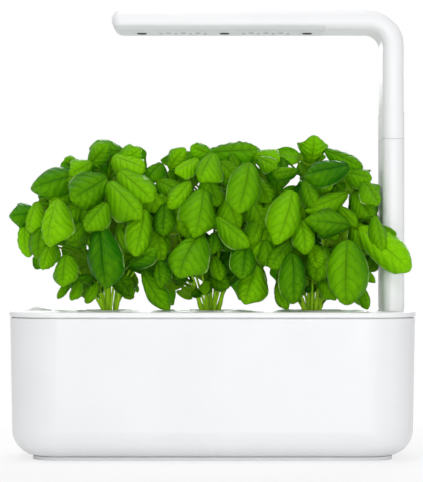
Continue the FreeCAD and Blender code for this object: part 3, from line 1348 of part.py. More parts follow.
def make_leaf(root, base, tip, width):
    """A curved leaf with its stalk: a thin solid, crowned outwards, pointed at its tip."""
    length = (tip - base).Length
    middle = (base + tip) * 0.5
    facing = unit(FreeCAD.Vector(middle.x * 0.012, -1 if middle.y < 0 else 1, 0.35))
    stalk, blade = GROWTH * value(size("stalk_width")), GROWTH * value(size("leaf_thick"))
    control = middle + facing * (length * 0.16) + Z_AXIS * (length * 0.12)
    start = unit(control - base)
    elbow = base - start * (0.3 * (base - root).Length)
    across = unit(facing.cross(start))
    rings = [leaf_ring(base, across, start, stalk * 0.5, stalk)]
    for centre, heading in ((elbow, unit(unit(elbow - root) + start)), (root, unit(elbow - root))):
        across = unit(across - heading * across.dot(heading))
        rings.insert(0, leaf_ring(centre, across, heading, stalk * 0.5, stalk))
    for along, spread in ((0.1, 0.66), (0.3, 1.0), (0.6, 0.95), (0.86, 0.55), (1.0, 0.06)):
        rest = 1 - along
        centre = base * rest ** 2 + control * (2 * rest * along) + tip * along ** 2
        tangent = unit((control - base) * rest + (tip - control) * along)
        rings.append(leaf_ring(centre, unit(facing.cross(tangent)), tangent, width / 2 * spread, blade))
    return lofted(rings)


def leaf_ring(centre, across, heading, half, thick):
    """A leaf's section: its middle stands out and its two edges roll back."""
    outward = unit(heading.cross(across))
    roll = outward * (0.22 * half)
    front, depth = centre + outward * (thick / 2), outward * thick
    left, right = front - across * half - roll, front + across * half - roll
    return [left, front, right, right - depth * 0.6, front - depth, left - depth * 0.6]


def mirrored(point):
    """A point of a back leaf: that of its front leaf seen in a mirror, a little higher."""
    return FreeCAD.Vector(point.x, -point.y, point.z + 2 * GROWTH)


def make_plant(name, x):
    """The stems and the leaves of a plant, as two groups of solids on the pod's growing medium."""
    top = value(LID_TOP) - value(MEDIUM_TOP)
    stems, leaves = [], []
    for foot, head in STEMS[name]:
        foot_at, head_at = vector(foot), vector(head)
        stems.append((FreeCAD.Vector(foot_at.x, foot_at.y, -top), head_at))
    thick = GROWTH * value(size("stem_foot")), GROWTH * value(size("stem_head"))
    stem_solids = [make_stem(foot, head, *thick) for foot, head in stems]
    half, slack = GROWTH * value(size("stalk_width * 0.64")), GROWTH * value(size("seat_gap"))
    for base, tip, width in LEAVES[name]:
        ends = [(vector(base), vector(tip))]
        if base[1] < -20 and width >= 23:
            ends.append((mirrored(ends[0][0]), mirrored(ends[0][1])))
        for low, high in ends:
            leaves.append(make_leaf(stalk_root(low, stems, thick, half, slack), low, high, GROWTH * width))
    features = {}
    for kind, solids in (("basil_stems_", stem_solids), ("basil_leaves_", leaves)):
        feature = doc.addObject("Part::Feature", kind + name)
        feature.Shape = Part.makeCompound(solids)
        features[kind + name] = place(feature, x, "0", LID_TOP)
    return features


def finish(objects):
    """Names, checks and writes the sub-parts."""
    for name, thing in objects.items():
        thing.Label = name
    doc.recompute()
    failed = [obj.Name for obj in doc.Objects if "Invalid" in obj.State or "Error" in obj.State]
    if failed:
        raise RuntimeError("failed objects: " + ", ".join(failed))
    for name, thing in objects.items():
        if thing.Shape.isNull() or not thing.Shape.isValid() or not thing.Shape.Solids:
            raise RuntimeError("bad shape: " + name)
    os.makedirs("parts", exist_ok=True)
    for name, thing in objects.items():
        thing.Shape.exportStep("parts/%s.step" % name)
        print("%-22s %3d solids %12.1f mm3" % (name, len(thing.Shape.Solids), thing.Shape.Volume))


parts = {
    "casing": make_casing(),
    "base_plate": make_base_plate(),
    "rubber_feet": make_rubber_feet(),
    "base_screws": make_base_screws(),
    "water_tank": make_water_tank(),
    "lamp_socket": make_lamp_socket(),
    "socket_contacts": make_socket_contacts(),
    "control_board": make_control_board(),
    "board_components": make_board_components(),
    "dc_inlet": make_dc_inlet(),
    "base_leads": make_base_leads(),
    "lid": make_lid(),
    "float_guide": make_float_guide(),
    "float_cap": make_float_cap(),
    "float_stem": make_float_stem(),
    "float_block": make_float_block(),
    "mast_extension": make_mast_extension(),
    "contact_carriers": make_contact_carriers(),
    "extension_contacts": make_extension_contacts(),
    "led_lenses": make_led_lenses(),
    "leds": make_leds(),
    "led_board": make_led_board(),
    "heat_spreader": make_heat_spreader(),
    "lead_connectors": make_lead_connectors(),
    "lamp_screws": make_lamp_screws(),
    "lamp_plugs": make_lamp_plugs(),
    "lamp_collar": make_lamp_collar(),
    "lamp_contacts": make_lamp_contacts(),
    "lamp_leads": make_lamp_leads(),
}
arm_tube = cut("arm_tube", make_band("arm_outside", "0", ARM_BASE), [
    make_band("arm_inside", size("arm_wall"), "(%s - %s)" % (ARM_BASE, size("arm_wall"))),
])
parts["lamp_arm_shell"] = make_lamp_arm_shell(arm_tube)
parts["lamp_lower_cover"] = make_lamp_lower_cover(arm_tube)
for pod, pod_x in POD_SPOTS.items():
    parts["pod_cup_" + pod] = make_pod_cup(pod, pod_x)
    parts["growing_medium_" + pod] = make_growing_medium(pod, pod_x)
    parts["pod_cover_" + pod] = make_pod_cover(pod, pod_x)
    parts["wick_" + pod] = make_wick(pod, pod_x)
    parts.update(make_plant(pod, pod_x))
finish(parts)
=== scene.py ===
"""Looks of a countertop hydroponic garden: a white casing, three basil plants and a grow lamp on a mast.

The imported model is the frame. The housing keeps its solids and gets finishes; the plants are grown here.
"""

import logging
import math
from collections.abc import Sequence
from dataclasses import dataclass, field
from enum import Enum

import bpy
import numpy as np
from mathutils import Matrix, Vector


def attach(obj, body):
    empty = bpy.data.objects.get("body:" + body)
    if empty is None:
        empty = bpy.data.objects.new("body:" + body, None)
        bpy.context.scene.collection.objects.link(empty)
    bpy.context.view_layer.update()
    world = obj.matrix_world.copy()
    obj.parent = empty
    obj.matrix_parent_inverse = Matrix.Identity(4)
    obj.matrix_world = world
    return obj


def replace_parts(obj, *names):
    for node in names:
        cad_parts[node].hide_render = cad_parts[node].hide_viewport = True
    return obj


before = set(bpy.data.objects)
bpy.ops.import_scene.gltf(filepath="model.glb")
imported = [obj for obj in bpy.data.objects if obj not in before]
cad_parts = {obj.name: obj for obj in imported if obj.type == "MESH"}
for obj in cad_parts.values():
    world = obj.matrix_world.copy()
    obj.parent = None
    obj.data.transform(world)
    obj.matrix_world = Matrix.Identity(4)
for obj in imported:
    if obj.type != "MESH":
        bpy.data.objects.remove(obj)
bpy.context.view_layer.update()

MM = 0.001
TINY = 1e-9
PLACES = "Surface"
TONE = "tone"
SIDEWAYS = (0.0, 1.0, 0.05)
log = logging.getLogger("garden")


# Meshes
def unit(vectors: np.ndarray) -> np.ndarray:
    """Scales vectors to a length of one.

    Args:
        vectors: Any number of vectors in the last axis.

    Returns:
        The same directions with a length of one.
    """
    length = np.linalg.norm(vectors, axis=-1, keepdims=True)
    return vectors / np.maximum(length, TINY)


def smooth_step(low: float, high: float, values: np.ndarray) -> np.ndarray:
    """Rises from 0 at low to 1 at high along 3t^2 - 2t^3.

    Args:
        low: Where the rise starts.
        high: Where it ends.
        values: The values to map.

    Returns:
        A share from 0 to 1 for each value.
    """
    share = np.clip((values - low) / (high - low), 0.0, 1.0)
    return share * share * (3.0 - 2.0 * share)


def bezier(points: np.ndarray, shares: np.ndarray) -> np.ndarray:
    """A Bezier curve: each control point weighted by its Bernstein polynomial of the share.

    Args:
        points: Three or four control points, one in a row.
        shares: Places along the curve, from 0 to 1.

    Returns:
        One point for each share.
    """
    degree = len(points) - 1
    powers = np.arange(degree + 1)
    counts = np.array([math.comb(degree, number) for number in powers])
    weights = counts * shares[:, None] ** powers * (1.0 - shares[:, None]) ** (degree - powers)
    return weights @ points


def grid_quads(rows: int, columns: int) -> np.ndarray:
    """Quads between rings: each point joins the next in its ring and the two after them in the next ring.

    The second half of a ring starts its quads one corner on. They split along the other diagonal, so that
    the two sides of a thin leaf bend alike.

    Args:
        rows: How many rings there are.
        columns: Points in a ring.

    Returns:
        Four point numbers for each quad.
    """
    row = np.arange(rows - 1)[:, None]
    column = np.arange(columns)[None, :]
    low, next_low = row * columns + column, row * columns + (column + 1) % columns
    quads = np.stack([low, next_low, next_low + columns, low + columns], axis=-1)
    second = (column >= columns // 2)[..., None]
    return np.where(second, np.roll(quads, -1, axis=-1), quads).reshape(-1, 4)


@dataclass
class MeshParts:
    """Grids gathered into one mesh, with a map place and a tone at every point."""

    points: list[np.ndarray] = field(default_factory=list)
    faces: list[list[int]] = field(default_factory=list)
    places: list[np.ndarray] = field(default_factory=list)
    tones: list[np.ndarray] = field(default_factory=list)
    count: int = 0

    def add(self, grid: np.ndarray, places: np.ndarray | None = None, tone: np.ndarray | float = 0.5) -> None:
        """Adds a grid of closed rings as a surface, with a face over each end.

        Args:
            grid: Points in rings, as (rings, points, 3), in metres.
            places: Map places as (rings, points, 2), or none for the bare shares of rings and points.
            tone: A value that its finish reads, for the whole grid or for each point.
        """
        rows, columns = grid.shape[:2]
        if places is None:
            across, along = np.meshgrid(np.linspace(0, 1, columns), np.linspace(0, 1, rows))
            places = np.stack([across, along], axis=-1)
        self.faces.extend((grid_quads(rows, columns) + self.count).tolist())
        self.faces.append(list(range(self.count + columns - 1, self.count - 1, -1)))
        self.faces.append(list(range(self.count + (rows - 1) * columns, self.count + rows * columns)))
        self.points.append(grid.reshape(-1, 3))
        self.places.append(places.reshape(-1, 2))
        self.tones.append(np.broadcast_to(tone, (rows, columns)).ravel())
        self.count += rows * columns

    def build(self, name: str, material: bpy.types.Material, body: str) -> bpy.types.Object:
        """Makes the object, at the origin and riding on a body.

        Args:
            name: The piece's name.
            material: Its finish.
            body: The CAD body that it moves with.

        Returns:
            The finished piece.
        """
        mesh = bpy.data.meshes.new(name)
        mesh.from_pydata(np.concatenate(self.points).tolist(), [], self.faces)
        corners = np.empty(len(mesh.loops), dtype=np.int32)
        mesh.loops.foreach_get("vertex_index", corners)
        layer = mesh.uv_layers.new(name=PLACES)
        layer.data.foreach_set("uv", np.concatenate(self.places)[corners].astype(np.float32).ravel())
        tones = mesh.attributes.new(TONE, "FLOAT", "POINT")
        tones.data.foreach_set("value", np.concatenate(self.tones).astype(np.float32))
        mesh.polygons.foreach_set("use_smooth", np.ones(len(self.faces), dtype=bool))
        mesh.materials.append(material)
        mesh.validate()
        piece = bpy.data.objects.new(name, mesh)
        bpy.context.scene.collection.objects.link(piece)
        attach(piece, body)
        log.info("%s: %d faces on %s", name, len(self.faces), body)
        return piece


def tube(path: np.ndarray, radii: np.ndarray, sides: int, squareness: float) -> np.ndarray:
    """A tube round a path: at each point a ring square to the path, its radius raised at four corners.

    Args:
        path: Points along the middle.
        radii: A radius for each point.
        sides: Points in a ring.
        squareness: How much the ring's radius swells at four corners, as a share.

    Returns:
        The grid of points, one ring in a row.
    """
    heading = unit(np.gradient(path, axis=0))
    across = unit(np.cross(heading, np.array(SIDEWAYS)))
    upright = np.cross(heading, across)
    angle = np.linspace(0.0, 2.0 * math.pi, sides, endpoint=False)
    swell = 1.0 + squareness * np.cos(4.0 * angle)
    ring_x, ring_y = np.cos(angle) * swell, np.sin(angle) * swell
    return path[:, None] + radii[:, None, None] * (
        across[:, None] * ring_x[None, :, None] + upright[:, None] * ring_y[None, :, None]
    )


# Finishes
Tree = bpy.types.NodeTree
Node = bpy.types.Node
Socket = bpy.types.NodeSocket
Colour = tuple[float, float, float]
Span = tuple[float, float]
SIDE_VEINS = 6.0
VEIN_LEAD = 0.3
VEIN_BEND = 1.25


class Maths(Enum):
    """What a Math node works out."""

    ADD = "ADD"
    SUBTRACT = "SUBTRACT"
    MULTIPLY = "MULTIPLY"
    MULTIPLY_ADD = "MULTIPLY_ADD"
    POWER = "POWER"
    FRACT = "FRACT"
    ABSOLUTE = "ABSOLUTE"
    MAXIMUM = "MAXIMUM"
    LESS_THAN = "LESS_THAN"


def opaque(colour: Colour) -> tuple[float, float, float, float]:
    """The colour with full alpha, as a socket takes it."""
    return (*colour, 1.0)


@dataclass(frozen=True)
class Graph:
    """A node tree, with short ways to add to it."""

    tree: Tree

    def fill(self, node: Node, inputs: dict[int | str, object]) -> None:
        """Fills or links a node's inputs.

        Args:
            node: The node.
            inputs: A number, a colour or another node's output for each input, by name or place.
        """
        for key, given in inputs.items():
            if isinstance(given, Socket):
                self.tree.links.new(given, node.inputs[key])
            else:
                node.inputs[key].default_value = given

    def add(self, kind: str, inputs: dict[int | str, object] | None = None, **settings: object) -> Node:
        """Adds a shader node.

        Args:
            kind: The node's type name, without ShaderNode.
            inputs: What fills its inputs, as in fill.
            **settings: The node's own settings.

        Returns:
            The new node.
        """
        node = self.tree.nodes.new("ShaderNode" + kind)
        for name, setting in settings.items():
            setattr(node, name, setting)
        self.fill(node, inputs or {})
        return node

    def maths(self, operation: Maths, *terms: Socket | float, clamp: bool = False) -> Socket:
        """The result of a Math node, kept between 0 and 1 if clamp is set."""
        node = self.add("Math", dict(enumerate(terms)), operation=operation.value, use_clamp=clamp)
        return node.outputs[0]

    def remap(self, value: Socket, span: Span, ends: Span = (0.0, 1.0)) -> Socket:
        """The value mapped smoothly so that it runs between the two ends over the span."""
        inputs = {"Value": value, "From Min": span[0], "From Max": span[1]}
        inputs |= {"To Min": ends[0], "To Max": ends[1]}
        return self.add("MapRange", inputs, interpolation_type="SMOOTHSTEP").outputs["Result"]

    def fade(self, value: Socket, span: Span) -> Socket:
        """Falls smoothly from 1 to 0 where the value crosses the span."""
        return self.remap(value, span, (1.0, 0.0))

    def mix(self, share: Socket | float, first: Socket | Colour, second: Socket | Colour) -> Socket:
        """Adds a Mix node for colours.

        Args:
            share: How much of the second colour.
            first: The first colour, given or linked.
            second: The second colour, given or linked.

        Returns:
            The mixed colour.
        """
        ends = [opaque(colour) if isinstance(colour, tuple) else colour for colour in (first, second)]
        node = self.add("Mix", {0: share, 6: ends[0], 7: ends[1]}, data_type="RGBA", clamp_factor=True)
        return node.outputs[2]

    def noise(self, place: Socket, scale: Socket | float, detail: float, roughness: float = 0.5) -> Socket:
        """The value of a Noise Texture node."""
        inputs = {"Vector": place, "Scale": scale, "Detail": detail, "Roughness": roughness}
        return self.add("TexNoise", inputs).outputs["Fac"]

    def bump(self, height: Socket, strength: Socket | float, distance: float) -> Socket:
        """The normal of a relief whose height of 1 stands the distance high, in metres."""
        node = self.add("Bump", {"Height": height, "Strength": strength, "Distance": distance})
        return node.outputs["Normal"]

    def blend(self, share: Socket | float, first: Node, second: Node) -> None:
        """Puts a mix of two shaders on the material's output.

        Args:
            share: How much of the second shader.
            first: The first shader.
            second: The second shader.
        """
        mixed = self.add("MixShader", {0: share, 1: first.outputs[0], 2: second.outputs[0]})
        output = next(node for node in self.tree.nodes if node.type == "OUTPUT_MATERIAL")
        self.fill(output, {"Surface": mixed.outputs[0]})


def new_group(name: str, inputs: dict[str, str],
              outputs: dict[str, str]) -> tuple[Graph, dict[str, Socket], Node]:
    """Makes an empty shader node group.

    Args:
        name: The group's name.
        inputs: Its inputs as name and socket type.
        outputs: Its outputs as name and socket type.

    Returns:
        The group, its inputs as sockets to link from, and its output node.
    """
    group = bpy.data.node_groups.new(name, "ShaderNodeTree")
    for way, sockets in (("INPUT", inputs), ("OUTPUT", outputs)):
        for socket, kind in sockets.items():
            group.interface.new_socket(socket, in_out=way, socket_type="NodeSocket" + kind)
    source = group.nodes.new("NodeGroupInput")
    given = {socket: source.outputs[socket] for socket in inputs}
    return Graph(group), given, group.nodes.new("NodeGroupOutput")


@dataclass(frozen=True)
class MouldedSkin:
    """The pattern of moulded skins: faint clouds of colour, gloss that drifts and a fine grain in relief."""

    cloud_scale: float = 14.0
    cloud_roughness: float = 0.55
    wear_scale: float = 55.0
    wear_roughness: float = 0.65
    noise_span: Span = (0.3, 0.7)
    grain_height: float = 0.0002

    def build(self) -> Tree:
        """Makes the pattern's node group.

        Returns:
            The group.
        """
        graph, given, target = new_group(
            "Moulded skin",
            {"Place": "Vector", "Light": "Color", "Dark": "Color", "Smooth": "Float", "Rough": "Float",
             "Grain": "Float", "Relief": "Float"},
            {"Color": "Color", "Roughness": "Float", "Normal": "Vector"},
        )
        cloud = graph.noise(given["Place"], self.cloud_scale, 3.0, self.cloud_roughness)
        speck = graph.noise(given["Place"], given["Grain"], 2.0)
        wear = graph.noise(given["Place"], self.wear_scale, 4.0, self.wear_roughness)
        range_of_gloss = graph.maths(Maths.SUBTRACT, given["Rough"], given["Smooth"])
        worn = graph.remap(wear, self.noise_span)
        graph.fill(target, {
            "Color": graph.mix(graph.remap(cloud, self.noise_span), given["Dark"], given["Light"]),
            "Roughness": graph.maths(Maths.MULTIPLY_ADD, worn, range_of_gloss, given["Smooth"]),
            "Normal": graph.bump(speck, given["Relief"], self.grain_height),
        })
        return graph.tree


@dataclass(frozen=True)
class LeafSkin:
    """The pattern of a leaf's skin: midrib, side veins that curve to the tip, a fine net and swells between.

    The map runs from 0 to 1 across the front side and from 0 to -1 across the back side. A span says where a
    mark rises or fades, mostly as a share of the way from midrib to edge. The other values say how much it
    changes the tone, the colour or the height. The tone holds painted shade along the midrib and painted
    highlights on the swells between veins, and the light line along the edge is a painted highlight.
    """

    patch_scale: float = 2.6
    patch_roughness: float = 0.6
    patch_span: Span = (0.3, 0.7)
    stray: float = 0.24
    vein_span: Span = (0.0, 0.09)
    vein_reach: Span = (0.5, 0.95)
    midrib_span: Span = (0.01, 0.05)
    midrib_reach: Span = (0.3, 1.0)
    midrib_ends: Span = (1.0, 0.3)
    # Where the painted shade along the midrib fades out
    groove_shade_span: Span = (0.03, 0.22)
    swell_span: Span = (0.0, 0.5)
    swell_reach: Span = (0.0, 0.3)
    net_scale: float = 26.0
    net_span: Span = (0.0, 0.16)
    # Painted highlight: a light line along the leaf's edge, in patches
    rim_highlight_span: Span = (0.94, 1.0)
    rim_highlight_patches: Span = (0.4, 0.56)
    patch_tone: float = 0.5
    tone_offset: float = -0.27
    # Painted highlight: the swells between veins are lighter
    painted_swell_highlight: float = 0.05
    # Painted shade: the band along the midrib is darker
    painted_groove_shade: float = -0.1
    net_tone: float = 0.04
    back_share: float = 0.7
    side_vein_share: float = 0.4
    sunk_share: float = 0.19
    raised_share: float = 0.6
    vein_height: float = -0.5
    swell_height: float = 0.6
    net_height: float = -0.1
    patch_height: float = 0.9
    relief: float = 0.6
    relief_height: float = 0.0014
    gloss: Span = (0.3, 0.46)
    back_rougher: float = 0.2

    def build(self) -> Tree:
        """Makes the pattern's node group.

        Returns:
            The group.
        """
        graph, given, target = new_group(
            "Leaf skin",
            {"Place": "Vector", "Tone": "Float", "Light": "Color", "Dark": "Color", "Vein and highlight": "Color",
             "Back": "Color"},
            {"Color": "Color", "Roughness": "Float", "Normal": "Vector", "Veins": "Float"},
        )
        add, times, sum_of = Maths.ADD, Maths.MULTIPLY, Maths.MULTIPLY_ADD
        place = graph.add("SeparateXYZ", {0: given["Place"]})
        behind = graph.maths(Maths.LESS_THAN, place.outputs[0], 0.0)
        across = graph.maths(Maths.ABSOLUTE, place.outputs[0])
        side = graph.maths(Maths.ABSOLUTE, graph.maths(sum_of, across, 2.0, -1.0))
        patch = graph.noise(given["Place"], self.patch_scale, 3.0, self.patch_roughness)
        stray = graph.maths(sum_of, patch, self.stray, -self.stray / 2.0)
        along = graph.maths(add, place.outputs[1], stray)
        start = graph.maths(sum_of, graph.maths(Maths.POWER, side, VEIN_BEND), -VEIN_LEAD, along)
        phase = graph.maths(Maths.FRACT, graph.maths(times, start, SIDE_VEINS))
        apart = graph.maths(Maths.ABSOLUTE, graph.maths(Maths.SUBTRACT, phase, 0.5))
        near = graph.maths(Maths.SUBTRACT, 0.5, apart)
        lateral = graph.maths(times, graph.fade(near, self.vein_span), graph.fade(side, self.vein_reach))
        thinner = graph.remap(along, self.midrib_reach, self.midrib_ends)
        midrib = graph.maths(times, graph.fade(side, self.midrib_span), thinner)
        # Painted shade along the midrib
        groove_shade = graph.fade(side, self.groove_shade_span)
        swell = graph.maths(times, graph.remap(near, self.swell_span), graph.remap(side, self.swell_reach))
        cells = {"Vector": given["Place"], "Scale": self.net_scale}
        net = graph.add("TexVoronoi", cells, feature="DISTANCE_TO_EDGE")
        mesh = graph.fade(net.outputs["Distance"], self.net_span)
        lift = graph.maths(sum_of, patch, self.patch_tone, graph.maths(add, given["Tone"], self.tone_offset))
        # Painted highlight: lighter on the swells
        lift = graph.maths(sum_of, swell, self.painted_swell_highlight, lift)
        # Painted shade: darker along the midrib
        lift = graph.maths(sum_of, groove_shade, self.painted_groove_shade, lift)
        lift = graph.maths(sum_of, mesh, self.net_tone, lift, clamp=True)
        blade = graph.mix(lift, given["Dark"], given["Light"])
        blade = graph.mix(graph.maths(times, behind, self.back_share), blade, given["Back"])
        veins = graph.maths(Maths.MAXIMUM, midrib, graph.maths(times, lateral, self.side_vein_share))
        in_front = graph.maths(Maths.SUBTRACT, 1.0, behind)
        sunk = graph.maths(times, in_front, graph.maths(times, veins, self.sunk_share))
        blade = graph.mix(sunk, blade, given["Dark"])
        raised = graph.maths(times, behind, graph.maths(times, veins, self.raised_share))
        # Painted highlight: a light line along the edge, in patches, mixed with the raised veins of the back
        # towards the veins' colour
        rim_highlight = graph.maths(times, graph.remap(side, self.rim_highlight_span), graph.remap(patch, self.rim_highlight_patches))
        pale = graph.maths(Maths.MAXIMUM, raised, rim_highlight, clamp=True)
        ribs = graph.maths(Maths.MAXIMUM, midrib, lateral)
        height = graph.maths(sum_of, ribs, self.vein_height, graph.maths(times, swell, self.swell_height))
        height = graph.maths(sum_of, mesh, self.net_height, height)
        height = graph.maths(sum_of, patch, self.patch_height, height)
        gloss = graph.remap(patch, self.patch_span, self.gloss)
        graph.fill(target, {
            "Color": graph.mix(pale, blade, given["Vein and highlight"]),
            "Roughness": graph.maths(sum_of, behind, self.back_rougher, gloss),
            "Normal": graph.bump(height, self.relief, self.relief_height),
            "Veins": veins,
        })
        return graph.tree


def new_material(name: str) -> tuple[bpy.types.Material, Graph, Node]:
    """Makes a material with a Principled shader on its output.

    Args:
        name: The material's name.

    Returns:
        The material, its node tree and its shader.
    """
    material = bpy.data.materials.new(name)
    material.use_nodes = True
    graph = Graph(material.node_tree)
    graph.tree.nodes.clear()
    shader = graph.add("BsdfPrincipled")
    graph.add("OutputMaterial", {"Surface": shader.outputs[0]})
    return material, graph, shader


def patterned(name: str, group: Tree,
              inputs: dict[str, object]) -> tuple[bpy.types.Material, Graph, Node, Node]:
    """Makes a material whose shader takes its colour, gloss and normal from a pattern.

    Args:
        name: The material's name.
        group: The pattern's node group.
        inputs: What fills the pattern's inputs, apart from its links.

    Returns:
        The material, its node tree, its shader and its pattern.
    """
    material, graph, shader = new_material(name)
    skin = graph.add("Group", node_tree=group)
    graph.fill(skin, inputs)
    outputs = skin.outputs
    graph.fill(shader, {
        "Base Color": outputs["Color"], "Roughness": outputs["Roughness"], "Normal": outputs["Normal"],
    })
    return material, graph, shader, skin


@dataclass(frozen=True)
class SkinFinish:
    """A moulded or cast surface, as colours, gloss and grain, for CAD nodes that keep their own solids."""

    name: str
    nodes: tuple[str, ...]
    light: Colour
    dark: Colour
    smooth: float = 0.32
    rough: float = 0.42
    grain: float = 900.0
    relief: float = 0.12
    metallic: float = 0.0
    coat: float = 0.0

    def apply(self, group: Tree) -> None:
        """Makes the material and puts it on its nodes.

        Args:
            group: The moulded skin's node group.
        """
        material, graph, shader, skin = patterned(self.name, group, {
            "Light": opaque(self.light), "Dark": opaque(self.dark), "Smooth": self.smooth,
            "Rough": self.rough, "Grain": self.grain, "Relief": self.relief,
        })
        graph.fill(skin, {"Place": graph.add("TexCoord").outputs["Object"]})
        graph.fill(shader, {"Metallic": self.metallic, "Coat Weight": self.coat})
        for name in self.nodes:
            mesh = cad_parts[name].data
            mesh.materials.clear()
            mesh.materials.append(material)
        log.info("%s on %d nodes", self.name, len(self.nodes))


@dataclass(frozen=True)
class LeafFinish:
    """A leaf's blade, as the colours of its skin and of the light that comes through it."""

    name: str
    light: Colour
    dark: Colour
    # The veins' colour also paints the highlight along each leaf's edge
    vein_and_highlight: Colour
    back: Colour
    through: Colour
    passing: float
    specular: float = 0.3
    specular_tint: Colour = (0.45, 1.0, 0.12)

    def make(self, group: Tree) -> bpy.types.Material:
        """Builds the material.

        Args:
            group: The leaf skin's node group.

        Returns:
            The material.
        """
        material, graph, shader, skin = patterned(self.name, group, {
            "Light": opaque(self.light), "Dark": opaque(self.dark), "Vein and highlight": opaque(self.vein_and_highlight),
            "Back": opaque(self.back),
        })
        graph.fill(skin, {
            "Place": graph.add("UVMap", uv_map=PLACES).outputs["UV"],
            "Tone": graph.add("Attribute", attribute_name=TONE).outputs["Fac"],
        })
        graph.fill(shader, {"Specular IOR Level": self.specular, "Specular Tint": opaque(self.specular_tint)})
        passed = graph.mix(skin.outputs["Veins"], self.through, self.dark)
        graph.blend(self.passing, shader, graph.add("BsdfTranslucent", {"Color": passed}))
        return material


@dataclass(frozen=True)
class StemFinish:
    """A stem's skin: pale at its foot, greener above between the two heights, with ribs along it."""

    name: str
    foot: Colour
    head: Colour
    low: float
    high: float
    fibre_scale: tuple[float, float, float] = (700.0, 700.0, 30.0)
    fibre_tone: float = 0.5
    fibre_span: Span = (0.3, 0.7)
    gloss: Span = (0.35, 0.55)
    relief: float = 0.3
    relief_height: float = 0.0004
    specular: float = 0.25
    specular_tint: Colour = (0.6, 1.0, 0.2)
    subsurface: float = 0.1
    subsurface_depth: float = 0.002

    def make(self) -> bpy.types.Material:
        """Builds the material.

        Returns:
            The material.
        """
        material, graph, shader = new_material(self.name)
        place = graph.add("TexCoord").outputs["Object"]
        height = graph.add("SeparateXYZ", {0: place}).outputs[2]
        streaks = graph.add("Mapping", {"Vector": place, "Scale": self.fibre_scale})
        fibre = graph.noise(streaks.outputs[0], 1.0, 3.0)
        risen = graph.maths(Maths.ADD, graph.remap(height, (self.low, self.high)), -self.fibre_tone / 2.0)
        share = graph.maths(Maths.MULTIPLY_ADD, fibre, self.fibre_tone, risen, clamp=True)
        graph.fill(shader, {
            "Base Color": graph.mix(share, self.foot, self.head),
            "Roughness": graph.remap(fibre, self.fibre_span, self.gloss),
            "Normal": graph.bump(fibre, self.relief, self.relief_height),
            "Specular IOR Level": self.specular, "Specular Tint": opaque(self.specular_tint),
            "Subsurface Weight": self.subsurface, "Subsurface Scale": self.subsurface_depth,
        })
        return material


# Plants
Point = tuple[float, float, float]
LeafRow = tuple[Point, Point, float]
StemRow = tuple[Point, Point]
LID_TOP = 111.0
STEM_FOOT = -1.9
LONG_LEAF = 17.0
LONG_STALK_HALF = 0.8
SHORT_STALK_HALF = 0.5
TURN_OUT = 0.008
LEAN_UP = 0.15


class Pod(Enum):
    """The three pods, from left to right."""

    LEFT = "left"
    MIDDLE = "middle"
    RIGHT = "right"


@dataclass(frozen=True)
class Leaf:
    """A leaf in millimetres from its pod's middle, at the lid's top."""

    base: np.ndarray
    tip: np.ndarray
    width: float
    fine: bool
    tone: float
    turn: float
    lean: float
    twist: float
    bow: float
    hook: float
    fold: float
    cup: float
    swell: float
    wave: float
    phase: float
    blunt: float
    # Painted light and shade: how much one half of the leaf is lit and the other shaded, and which half
    painted_light_side: float
    turned: bool

    @property
    def length(self) -> float:
        """The straight length from base to tip."""
        return float(np.linalg.norm(self.tip - self.base))

    @property
    def middle(self) -> np.ndarray:
        """The point halfway from base to tip."""
        return (self.base + self.tip) / 2.0

    @property
    def stalk_half(self) -> float:
        """Half the stalk's width, which a small leaf has less of."""
        return LONG_STALK_HALF if self.length > LONG_LEAF else SHORT_STALK_HALF

    def facing(self) -> np.ndarray:
        """The way that its front looks: away from the plant's middle, and a little up."""
        side = -1.0 if self.middle[1] < 0 else 1.0
        return unit(np.array([self.middle[0] * TURN_OUT + self.turn, side, LEAN_UP + self.lean]))


@dataclass(frozen=True)
class LeafKinds:
    """How leaves differ from each other, as the ranges of their random draws."""

    tone_spread: float = 0.13
    tone_range: Span = (0.02, 0.98)
    turn: Span = (-0.4, 0.4)
    lean: Span = (-0.2, 0.3)
    twist: Span = (-0.3, 0.3)
    bow: Span = (0.1, 0.24)
    hook: Span = (0.0, 0.26)
    fold: Span = (-0.25, 0.2)
    cup: Span = (0.5, 0.95)
    least_swell: float = 0.05
    more_swell: float = 0.16
    wave: Span = (0.02, 0.09)
    phase: Span = (0.0, 6.28)
    blunt: Span = (0.44, 0.56)
    # Painted light and shade: the range of how much one half is lit and the other shaded
    painted_light_side: Span = (-1.0, 1.0)
    turned_share: float = 0.25

    def draw(self, base: np.ndarray, tip: np.ndarray, width: float, rng: np.random.Generator, tone: float,
             fine: bool = True) -> Leaf:
        """A leaf with its own tone and its own lean, bow, roll and waves.

        Args:
            base: Where its blade starts.
            tip: Where it ends.
            width: Its greatest width.
            rng: The source of the small differences.
            tone: Its tone before its own small difference.
            fine: Whether its grid is a fine one.

        Returns:
            The leaf.
        """
        tone = float(np.clip(tone + rng.normal(0.0, self.tone_spread), *self.tone_range))
        return Leaf(
            base, tip, width, fine, tone,
            turn=rng.uniform(*self.turn), lean=rng.uniform(*self.lean), twist=rng.uniform(*self.twist),
            bow=rng.uniform(*self.bow), hook=rng.uniform(*self.hook), fold=rng.uniform(*self.fold),
            cup=rng.uniform(*self.cup), swell=self.least_swell + self.more_swell * rng.random() ** 2,
            wave=rng.uniform(*self.wave), phase=rng.uniform(*self.phase), blunt=rng.uniform(*self.blunt),
            painted_light_side=rng.uniform(*self.painted_light_side), turned=not fine and rng.random() < self.turned_share,
        )


